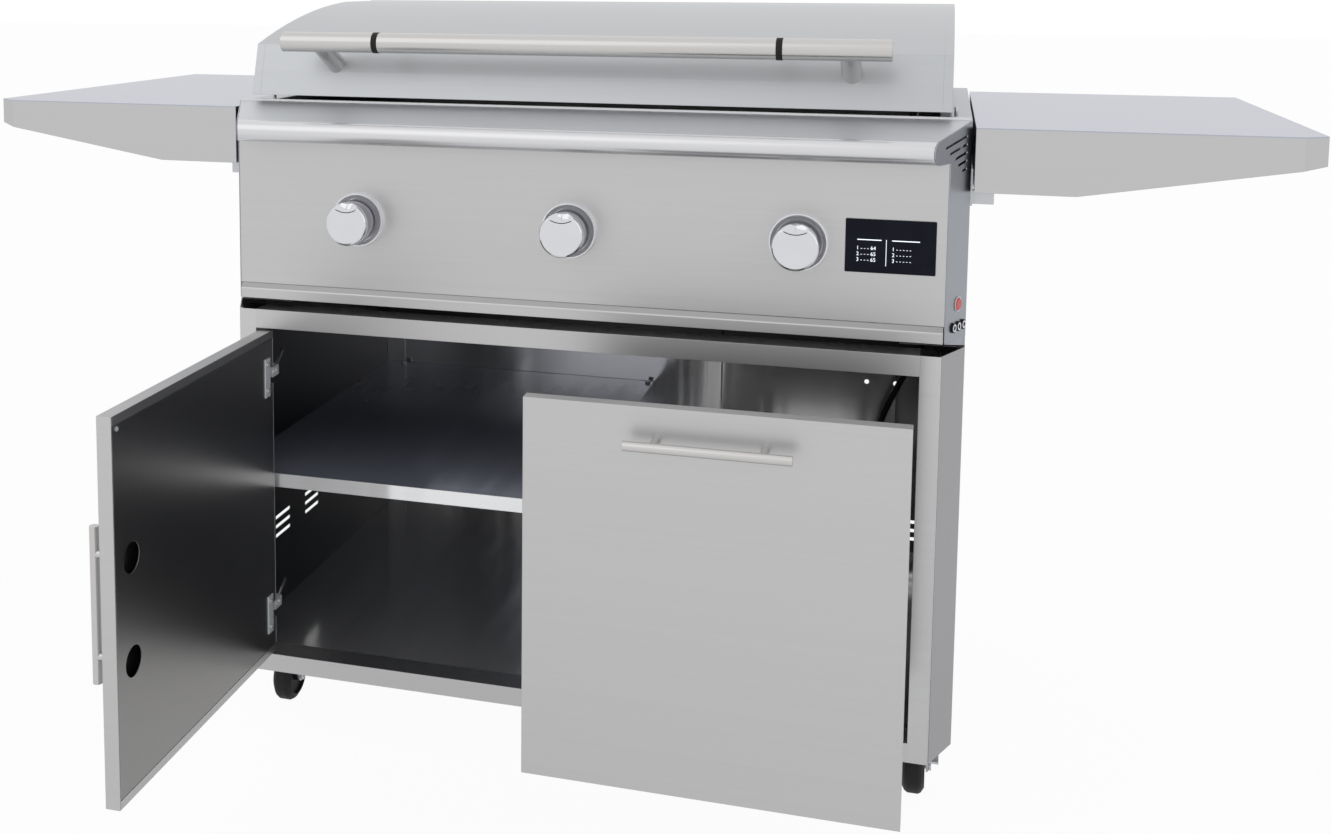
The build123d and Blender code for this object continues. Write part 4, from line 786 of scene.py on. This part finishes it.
@dataclass
class Screen:
    """Glass of the display and the plain figures on it."""

    middle: Point = (0.4186, FACE_Y + 0.0118, 0.7752)
    width: float = 0.1115
    height: float = 0.0685
    glass: float = 0.0004
    glass_rim: float = 0.002
    glass_sunk: float = 0.00015
    glass_edge: float = 0.0001
    print_height: float = 0.0002
    print_edge: float = 0.00008
    figure: float = 0.0068
    columns: Pair = (-0.042, 0.002)
    first_row: float = -0.005
    row_pitch: float = 0.0075
    rows: Sequence[tuple[str, str]] = (("1 - - - 64", "1 - - - - -"), ("2 - - - 65", "2 - - - - -"),
                                       ("3 - - - 65", "3 - - - - -"))
    # The line between the columns and the rule over each: offset from the middle, then width and height
    lines: Sequence[tuple[Pair, Pair]] = (
        ((-0.005, -0.008), (0.0007, 0.034)), ((-0.026, 0.008), (0.030, 0.0012)),
        ((0.019, 0.008), (0.034, 0.0012)),
    )

    def plate(self) -> Piece:
        """Lay the glass over the display's face, sunk inside a narrow rim.

        Returns:
            The glass.
        """
        x, y, z = self.middle
        glass = block((x, y - self.glass / 2, z), (self.width, self.glass, self.height))
        pick_faces(glass, lambda face: face.normal.y < -FACING)
        bpy.ops.mesh.inset(thickness=self.glass_rim)
        bpy.ops.transform.translate(value=(0.0, self.glass_sunk, 0.0))
        soften(glass, self.glass_edge)
        return glass

    def on_glass(self, across: float, up: float) -> Point:
        """Give the middle of a print's thickness at an offset from the display's middle."""
        x, y, z = self.middle
        return (x + across, y - self.glass - self.print_height / 2, z + up)

    def bar(self, centre: Pair, size: Pair) -> Piece:
        """Make one thin printed line.

        Args:
            centre: Offset of its middle from the display's middle.
            size: Its width and height.

        Returns:
            The line.
        """
        line = block(self.on_glass(*centre), (size[0], self.print_height, size[1]))
        soften(line, self.print_edge, 1)
        return line

    def words(self, text: str, left: float, low: float) -> Piece:
        """Set one row of figures.

        Args:
            text: Digits and dashes.
            left: Offset of its left end from the display's middle.
            low: Offset of its base line from the display's middle.

        Returns:
            The row as a mesh.
        """
        deselect()
        bpy.ops.object.text_add(location=self.on_glass(left, low), rotation=(math.pi / 2, 0.0, 0.0))
        row = bpy.context.object
        row.data.body = text
        row.data.size = self.figure
        row.data.extrude = self.print_height / 2
        bpy.ops.object.convert(target="MESH")
        return bpy.context.object

    def build(self, shop: Workshop) -> None:
        """Make the glass, two columns of figures, a line between them and a rule over each.

        Args:
            shop: Gives the finishes.
        """
        shop.settle(self.plate(), "display_glass", "screen", "cart")
        prints = [self.bar(centre, size) for centre, size in self.lines]
        for i, row in enumerate(self.rows):
            low = self.first_row - self.row_pitch * i
            prints += [self.words(text, left, low) for text, left in zip(row, self.columns)]
        shop.settle(join(prints), "display_figures", "figures", "cart")


@dataclass
class KnobMarks:
    """The pointer line in the scoop of each knob, and a dark ring of painted shade along the crease round
    the scoop.
    """

    spacing: float = 0.304
    face_y: float = FACE_Y - 0.0387
    knob_z: float = 0.776
    low: float = 0.0195
    high: float = 0.0275
    mark_width: float = 0.0012
    mark_height: float = 0.0006
    mark_lift: float = 0.0002
    mark_edge: float = 0.0002
    # Radius of the ball that cuts the scoop, and its centre's rise over the axis and distance off the face
    scoop: Point = (0.040, 0.046, 0.0273)
    # Painted shade: a thin dark ring lies in the crease round the scoop
    crease: float = 0.0006
    crease_top: float = 0.0205
    crease_steps: tuple[int, int] = (96, 8)
    crease_smooth: float = math.radians(50)

    def depth(self, rise: float) -> float:
        """Give how far behind the knob's face the scoop lies.

        Args:
            rise: Height over the knob's axis.

        Returns:
            The depth in metres.
        """
        radius, centre_rise, centre_out = self.scoop
        return math.sqrt(radius ** 2 - (rise - centre_rise) ** 2) - centre_out

    def mark(self, x: float) -> Piece:
        """Lay one bevelled line along a scoop.

        Args:
            x: Place of the knob's axis.

        Returns:
            The line.
        """
        middle = (self.low + self.high) / 2
        fall = math.atan2(self.depth(self.high) - self.depth(self.low), self.high - self.low)
        mark = block((x, self.face_y + self.depth(middle) - self.mark_lift, self.knob_z + middle),
                     (self.mark_width, self.mark_height, self.high - self.low), (-fall, 0.0, 0.0))
        soften(mark, self.mark_edge)
        return mark

    def line(self) -> Piece:
        """Bend the painted crease shade: a fine dark ring, cut to the arc where the scoop meets the knob's
        face.

        Returns:
            The dark ring of painted shade, about the knob's axis.
        """
        radius, centre_rise, centre_out = self.scoop
        round_steps, thick_steps = self.crease_steps
        deselect()
        bpy.ops.mesh.primitive_torus_add(
            major_segments=round_steps, minor_segments=thick_steps, minor_radius=self.crease,
            major_radius=math.sqrt(radius ** 2 - centre_out ** 2),
            location=(0.0, 0.0, centre_rise), rotation=(math.pi / 2, 0.0, 0.0))
        crease = bpy.context.object
        bpy.ops.object.transform_apply(location=True, rotation=True)
        pick_faces(crease, lambda face: face.center.z > self.crease_top)
        bpy.ops.mesh.delete(type="FACE")
        bpy.ops.mesh.select_all(action="SELECT")
        bpy.ops.mesh.fill_holes(sides=thick_steps)
        bpy.ops.mesh.normals_make_consistent(inside=False)
        bpy.ops.object.mode_set(mode="OBJECT")
        bpy.ops.object.shade_smooth_by_angle(angle=self.crease_smooth)
        return crease

    def build(self, shop: Workshop) -> None:
        """Put a pointer line and a dark ring of painted crease shade on each knob.

        Args:
            shop: Gives the finishes.
        """
        for name, x in (("left", -self.spacing), ("middle", 0.0), ("right", self.spacing)):
            shop.settle(self.mark(x), f"knob_mark_{name}", "pale_ring", f"dial_{name}")
            # Painted shade: a dark ring along the crease round the scoop
            crease = set_out(self.line(), [Spot((x, self.face_y, self.knob_z), UP)])
            shop.settle(crease, f"knob_crease_{name}", "painted_crease_shade", f"dial_{name}")


@dataclass
class FlareRings:
    """Pale ring round the push button and bright rims in the probe jacks, on the right-hand flare."""

    corner: Point = (0.4888, FACE_Y + 0.0133, 0.654)
    outward: Point = (0.921286, -0.388885, 0.0)
    button: Pair = (0.036, 0.046)
    jacks: Sequence[Pair] = ((0.023, 0.017), (0.038, 0.017), (0.053, 0.017))
    jack_proud: float = 0.0025
    # Radius of the hole, radius of the rim and height
    button_ring: Point = (0.0082, 0.0100, 0.0014)
    jack_rim: Point = (0.0031, 0.0050, 0.0006)
    sides: int = 48
    rounding: float = 0.28
    rounding_steps: int = 3

    def ring(self, inner: float, outer: float, proud: float) -> Piece:
        """Raise a ring from a disc: a hole is inset and bridged through, and its edges are rounded.

        Args:
            inner: Radius of the hole.
            outer: Radius of the rim.
            proud: Height.

        Returns:
            The ring, standing on the origin along +Z.
        """
        ring = disc(outer, proud, self.sides)
        pick_faces(ring, lambda face: abs(face.normal.z) > FACING)
        bpy.ops.mesh.inset(thickness=outer - inner)
        bpy.ops.mesh.bridge_edge_loops()
        soften(ring, proud * self.rounding, self.rounding_steps)
        return ring

    def spot(self, along: float, rise: float, out: float) -> Spot:
        """Find a place on the flare.

        Args:
            along: Distance back from the flare's front edge.
            rise: Height over the flare's lower edge.
            out: Distance off the sheet.

        Returns:
            The place, facing away from the flare.
        """
        across = Vector((-self.outward[1], self.outward[0], 0.0))
        place = Vector(self.corner) + along * across + out * Vector(self.outward) + rise * Vector(UP)
        return Spot(tuple(place), self.outward)

    def build(self, shop: Workshop) -> None:
        """Set the ring of the button and the rims of the jacks.

        Args:
            shop: Gives the finishes.
        """
        ring = set_out(self.ring(*self.button_ring), [self.spot(*self.button, 0.0)])
        shop.settle(ring, "button_ring", "pale_ring", "cart")
        spots = [self.spot(*jack, self.jack_proud) for jack in self.jacks]
        rims = set_out(self.ring(*self.jack_rim), spots)
        shop.settle(rims, "jack_rims", "bezel", "cart")


@dataclass
class Strip:
    """A bar or strip on the cart's right side, given by its faces. The left side gets a mirrored one."""

    inner: float
    outer: float
    front: float
    back: float
    low: float
    high: float
    # Share of the strip's width or height that is left at its narrow front end
    tip: float = 0.1

    def start(self) -> Piece:
        """Add the strip's block, in edit mode with its front face selected.

        Returns:
            The block.
        """
        middle = ((self.inner + self.outer) / 2, (self.front + self.back) / 2, (self.low + self.high) / 2)
        size = (self.outer - self.inner, self.back - self.front, self.high - self.low)
        strip = block(middle, size)
        pick_faces(strip, lambda face: face.normal.y < -FACING)
        return strip


@dataclass
class CornerSeams(Strip):
    """Dressed weld beads that close the corners between the face frame and the flared sides."""

    inner: float = 0.4839
    outer: float = 0.4858
    front: float = FACE_Y + 0.0002
    back: float = FACE_Y + 0.0044
    low: float = 0.1002
    high: float = 0.6398
    rounding: float = 0.0001

    def build(self, shop: Workshop) -> None:
        """Draw one bead from a bar whose front narrows to the frame's edge, and mirror it.

        Args:
            shop: Gives the finish.
        """
        beads = self.start()
        bpy.ops.transform.resize(value=(self.tip, 1.0, 1.0), center_override=(self.inner, 0.0, 0.0))
        soften(beads, self.rounding)
        mirror(beads)
        shop.settle(beads, "corner_seams", "frame", "cart")


@dataclass
class CheekSkirts(Strip):
    """Skirts between the cheeks and the cart's sides, which taper away along the flares."""

    inner: float = 0.5125
    outer: float = 0.5137
    front: float = FACE_Y + 0.0730
    back: float = FACE_Y + 0.6790
    low: float = 0.6403
    high: float = 0.6550
    rounding: float = 0.0002
    flare: Point = (-0.0252, -0.0597, 0.0)

    def build(self, shop: Workshop) -> None:
        """Fold one strip round the bend of the flare, narrow its front end, and mirror it.

        Args:
            shop: Gives the finish.
        """
        skirts = self.start()
        bpy.ops.mesh.extrude_region_move(TRANSFORM_OT_translate={"value": self.flare})
        bpy.ops.transform.resize(value=(1.0, 1.0, self.tip), center_override=(0.0, 0.0, self.high))
        soften(skirts, self.rounding)
        mirror(skirts)
        shop.settle(skirts, "cheek_skirts", "side", "cart")


@dataclass
class DoorFittings:
    """Screws of the door's hinges and of its inner panel, on the open door."""

    pin: Point = (-0.448, FACE_Y - 0.004, 0.132)
    angle: float = math.radians(89.15)
    inner: float = 0.013
    free_edge: float = 0.4465
    height: float = 0.478
    corner_inset: Pair = (0.012, 0.017)
    hinge_heights: Pair = (0.413, 0.063)
    hinge_along: float = 0.0125
    hinge_flange: float = 0.0015
    hinge_step: float = 0.019
    screw: Fastener = Fastener(0.0030, 0.0016)

    def spot(self, along: float, through: float, up: float) -> Spot:
        """Turn a place on the door into the shared frame.

        Args:
            along: From the hinge pin towards the free edge.
            through: From the pin towards the inner face.
            up: Over the door's lower edge.

        Returns:
            The place, facing the way of the door's inner face.
        """
        ahead = Vector((math.cos(self.angle), -math.sin(self.angle), 0.0))
        inward = Vector((math.sin(self.angle), math.cos(self.angle), 0.0))
        place = Vector(self.pin) + along * ahead + through * inward + up * Vector(UP)
        return Spot(tuple(place), tuple(inward))

    def build(self, shop: Workshop) -> None:
        """Set the screws.

        Args:
            shop: Gives the finish.
        """
        across, down = self.corner_inset
        spots = [self.spot(self.free_edge - across, self.inner, self.height - down)]
        for height in self.hinge_heights:
            for step in (-self.hinge_step, self.hinge_step):
                spots.append(self.spot(self.hinge_along, self.inner + self.hinge_flange, height + step))
        screws = set_out(self.screw.model(), spots)
        shop.settle(screws, "door_screws", "zinc", "door")


@dataclass
class HingeArms:
    """Covers, levers and screws on the fixed arms of the door hinges."""

    strap_x: float = -0.44675
    heights: Pair = (0.545, 0.195)
    cover_y: float = FACE_Y + 0.024
    cover_size: Point = (0.007, 0.022, 0.015)
    cover_rim: float = 0.003
    cover_sunk: float = 0.0015
    cover_rounding: float = 0.0006
    lever_out: float = 0.0025
    lever_y: float = FACE_Y + 0.043
    lever_rise: float = 0.012
    lever_tilt: float = math.radians(40)
    lever_size: Point = (0.003, 0.036, 0.006)
    lever_rounding: float = 0.0008
    screw: Fastener = Fastener(0.0022, 0.0012)
    screw_out: float = 0.0055
    screw_backs: Pair = (0.0195, 0.0285)

    def cover(self, z: float) -> Piece:
        """Press one arm cover with a sunk middle.

        Args:
            z: Height of the hinge.

        Returns:
            The cover.
        """
        cover = block((self.strap_x + self.cover_size[0] / 2, self.cover_y, z), self.cover_size)
        pick_faces(cover, lambda face: face.normal.x > FACING)
        bpy.ops.mesh.inset(thickness=self.cover_rim)
        bpy.ops.transform.translate(value=(-self.cover_sunk, 0.0, 0.0))
        soften(cover, self.cover_rounding)
        return cover

    def lever(self, z: float) -> Piece:
        """Make the slanting lever behind one arm.

        Args:
            z: Height of the hinge.

        Returns:
            The lever.
        """
        place = (self.strap_x + self.lever_out, self.lever_y, z + self.lever_rise)
        lever = block(place, self.lever_size, (self.lever_tilt, 0.0, 0.0))
        soften(lever, self.lever_rounding)
        return lever

    def build(self, shop: Workshop) -> None:
        """Make the covers and levers and set two screws in each cover.

        Args:
            shop: Gives the finishes.
        """
        covers = [self.cover(z) for z in self.heights]
        spots = [Spot((self.strap_x + self.screw_out, FACE_Y + back, z), (1.0, 0.0, 0.0))
                 for z in self.heights for back in self.screw_backs]
        screws = set_out(self.screw.model(), spots)
        shop.settle(join([*covers, screws]), "hinge_covers", "nickel", "cart")
        levers = join([self.lever(z) for z in self.heights])
        shop.settle(levers, "hinge_levers", "inner", "cart")


@dataclass
class BodyBolts:
    """Bolts of the left-bay shelf and the stops beside the lid."""

    shelf_top: float = 0.395
    rear: float = FACE_Y + 0.680
    bolt: Fastener = Fastener(0.005, 0.004, sides=6)
    bolt_xs: Pair = (-0.474, -0.012)
    bolt_inset: float = 0.016
    rim: float = 0.93351
    stop: Fastener = Fastener(0.0024, 0.011)
    stop_x: float = 0.4938
    stop_y: float = FACE_Y + 0.150

    def build(self, shop: Workshop) -> None:
        """Set the bolts and the stops.

        Args:
            shop: Gives the finish.
        """
        places = [(x, self.rear - self.bolt_inset, self.shelf_top) for x in self.bolt_xs]
        bolts = set_out(self.bolt.model(), [Spot(place, UP) for place in places])
        shop.settle(bolts, "shelf_bolts", "zinc", "cart")
        places = [(side.value * self.stop_x, self.stop_y, self.rim) for side in Side]
        stops = set_out(self.stop.model(), [Spot(place, UP) for place in places])
        shop.settle(stops, "lid_stops", "zinc", "cart")


@dataclass
class CasterNuts:
    """Hex nuts on the ends of each caster's axle."""

    side: float = 0.467
    backs: dict[str, float] = field(default_factory=lambda: {"front": 0.120, "rear": 0.620})
    axle_z: float = 0.0375
    leg: float = 0.0195
    nut: Fastener = Fastener(0.0065, 0.004, sides=6)

    def build(self, shop: Workshop) -> None:
        """Set two nuts on each fork.

        Args:
            shop: Gives the finish.
        """
        for row, back in self.backs.items():
            for side in Side:
                spots = [Spot((side.value * self.side + way.value * self.leg, FACE_Y + back, self.axle_z),
                              (float(way.value), 0.0, 0.0)) for way in Side]
                nuts = set_out(self.nut.model(), spots)
                name = f"{row}_{side.name.lower()}"
                shop.settle(nuts, f"axle_nuts_{name}", "zinc", f"fork_{name}")


@dataclass(frozen=True)
class Lamp:
    """A soft square lamp: its name, place, edge and watts."""

    name: str
    place: Point
    size: float
    power: float

    def hang(self, aim: Point) -> None:
        """Add the lamp.

        Args:
            aim: Where it points.
        """
        data = bpy.data.lights.new(self.name, "AREA")
        data.size = self.size
        data.energy = self.power
        lamp = bpy.data.objects.new(self.name, data)
        lamp.location = self.place
        lamp.rotation_euler = (Vector(aim) - Vector(self.place)).to_track_quat("-Z", "Y").to_euler()
        bpy.context.scene.collection.objects.link(lamp)


@dataclass
class Studio:
    """Floor, light and the camera at the photograph's place."""

    focal_px: float = 1519.7
    centre_px: Pair = (488.0, 137.9)
    yaw: float = math.radians(-16.746)
    pitch: float = math.radians(-6.037)
    roll: float = math.radians(0.125)
    place: Point = (0.4778, FACE_Y - 1.9577, 1.1146)
    sensor: float = 36.0
    room_tone: Point = (0.9, 0.92, 0.95)
    room_strength: float = 0.75
    floor_size: float = 60.0
    floor_drop: float = 0.0005
    floor_tone: Point = (0.9, 0.9, 0.9)
    floor_roughness: float = 0.9
    # Share of white that the floor shows to the camera, and to reflections from under the cart to its front
    direct_share: float = 0.95
    mirrored_share: Pair = (0.6, 0.97)
    mirrored_reach: Pair = (-0.4, -2.4)
    aim: Point = (0.0, 0.0, 0.6)
    lamps: Sequence[Lamp] = (Lamp("key", (-2.0, -3.4, 3.6), 3.6, 14.0),
                             Lamp("fill", (3.2, -2.2, 2.2), 3.0, 8.0))

    def camera(self) -> None:
        """Put the camera at the fitted place, with the lens shift of the cropped picture."""
        level = math.cos(self.pitch)
        ahead = Vector((math.sin(self.yaw) * level, math.cos(self.yaw) * level, math.sin(self.pitch)))
        right = Vector((math.cos(self.yaw), -math.sin(self.yaw), 0.0))
        up = right.cross(ahead)
        right_rolled = math.cos(self.roll) * right + math.sin(self.roll) * up
        up_rolled = -math.sin(self.roll) * right + math.cos(self.roll) * up
        width, height = IMAGE_SIZE
        data = bpy.data.cameras.new("camera")
        data.sensor_fit = "HORIZONTAL"
        data.sensor_width = self.sensor
        data.lens = self.focal_px / width * self.sensor
        data.shift_x = (width / 2 - self.centre_px[0]) / width
        data.shift_y = (self.centre_px[1] - height / 2) / width
        camera = bpy.data.objects.new("camera", data)
        turn = Matrix((right_rolled, up_rolled, -ahead)).transposed().to_4x4()
        camera.matrix_world = Matrix.Translation(Vector(self.place)) @ turn
        bpy.context.scene.collection.objects.link(camera)
        bpy.context.scene.camera = camera

    def world(self) -> None:
        """Light the room softly, and show a white background to the camera and to reflections."""
        world = bpy.data.worlds.new("studio")
        bpy.context.scene.world = world
        world.use_nodes = True
        tree = world.node_tree
        tree.nodes.clear()
        rays = tree.nodes.new("ShaderNodeLightPath").outputs
        seen = combined(tree, Rule.LARGER, rays["Is Camera Ray"], rays["Is Glossy Ray"])
        shown = combined(tree, Rule.LARGER, seen, rays["Is Transmission Ray"])
        mix = tree.nodes.new("ShaderNodeMixShader")
        tree.links.new(shown, mix.inputs["Fac"])
        looks = ((self.room_tone, self.room_strength), (WHITE, 1.0))
        for (tone, strength), socket in zip(looks, (mix.inputs[1], mix.inputs[2])):
            light = tree.nodes.new("ShaderNodeBackground")
            light.inputs["Color"].default_value = (*tone, 1.0)
            light.inputs["Strength"].default_value = strength
            tree.links.new(light.outputs["Background"], socket)
        out = tree.nodes.new("ShaderNodeOutputWorld")
        tree.links.new(mix.outputs["Shader"], out.inputs["Surface"])

    def floor(self) -> None:
        """Lay a pale floor that shows as white but keeps the shadow."""
        deselect()
        bpy.ops.mesh.primitive_plane_add(size=self.floor_size, location=(0.0, 0.0, -self.floor_drop))
        floor = bpy.context.object
        floor.name = "floor"
        material, shader = new_material("pale_floor")
        tree = material.node_tree
        shader.inputs["Base Color"].default_value = (*self.floor_tone, 1.0)
        shader.inputs["Roughness"].default_value = self.floor_roughness
        rays = tree.nodes.new("ShaderNodeLightPath").outputs
        seen = combined(tree, Rule.LARGER, rays["Is Glossy Ray"], rays["Is Transmission Ray"])
        depth = object_axes(material).outputs["Y"]
        fade = spread(material, depth, *self.mirrored_share, self.mirrored_reach)
        mirrored = combined(tree, Rule.PRODUCT, seen, fade)
        direct = combined(tree, Rule.PRODUCT, rays["Is Camera Ray"], self.direct_share)
        glow = tree.nodes.new("ShaderNodeEmission")
        glow.inputs["Color"].default_value = (*WHITE, 1.0)
        glow.inputs["Strength"].default_value = 1.0
        mix = tree.nodes.new("ShaderNodeMixShader")
        tree.links.new(combined(tree, Rule.LARGER, direct, mirrored), mix.inputs["Fac"])
        tree.links.new(shader.outputs["BSDF"], mix.inputs[1])
        tree.links.new(glow.outputs["Emission"], mix.inputs[2])
        tree.links.new(mix.outputs["Shader"], tree.nodes["Material Output"].inputs["Surface"])
        floor.data.materials.append(material)

    def build(self) -> None:
        """Set up the whole studio."""
        self.camera()
        self.world()
        self.floor()
        for lamp in self.lamps:
            lamp.hang(self.aim)
        bpy.context.scene.view_settings.view_transform = "Standard"


def main() -> None:
    """Build the studio, the finishes and the added pieces."""
    logging.basicConfig(level=logging.INFO)
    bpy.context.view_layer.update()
    shop = Workshop()
    Studio().build()
    shop.dress_nodes(frame["nodes"])
    for assembly in (GasHose(), Screen(), KnobMarks(), FlareRings(), CornerSeams(), CheekSkirts(),
                     DoorFittings(), HingeArms(), BodyBolts(), CasterNuts()):
        assembly.build(shop)


if __name__ == "__main__":
    main()
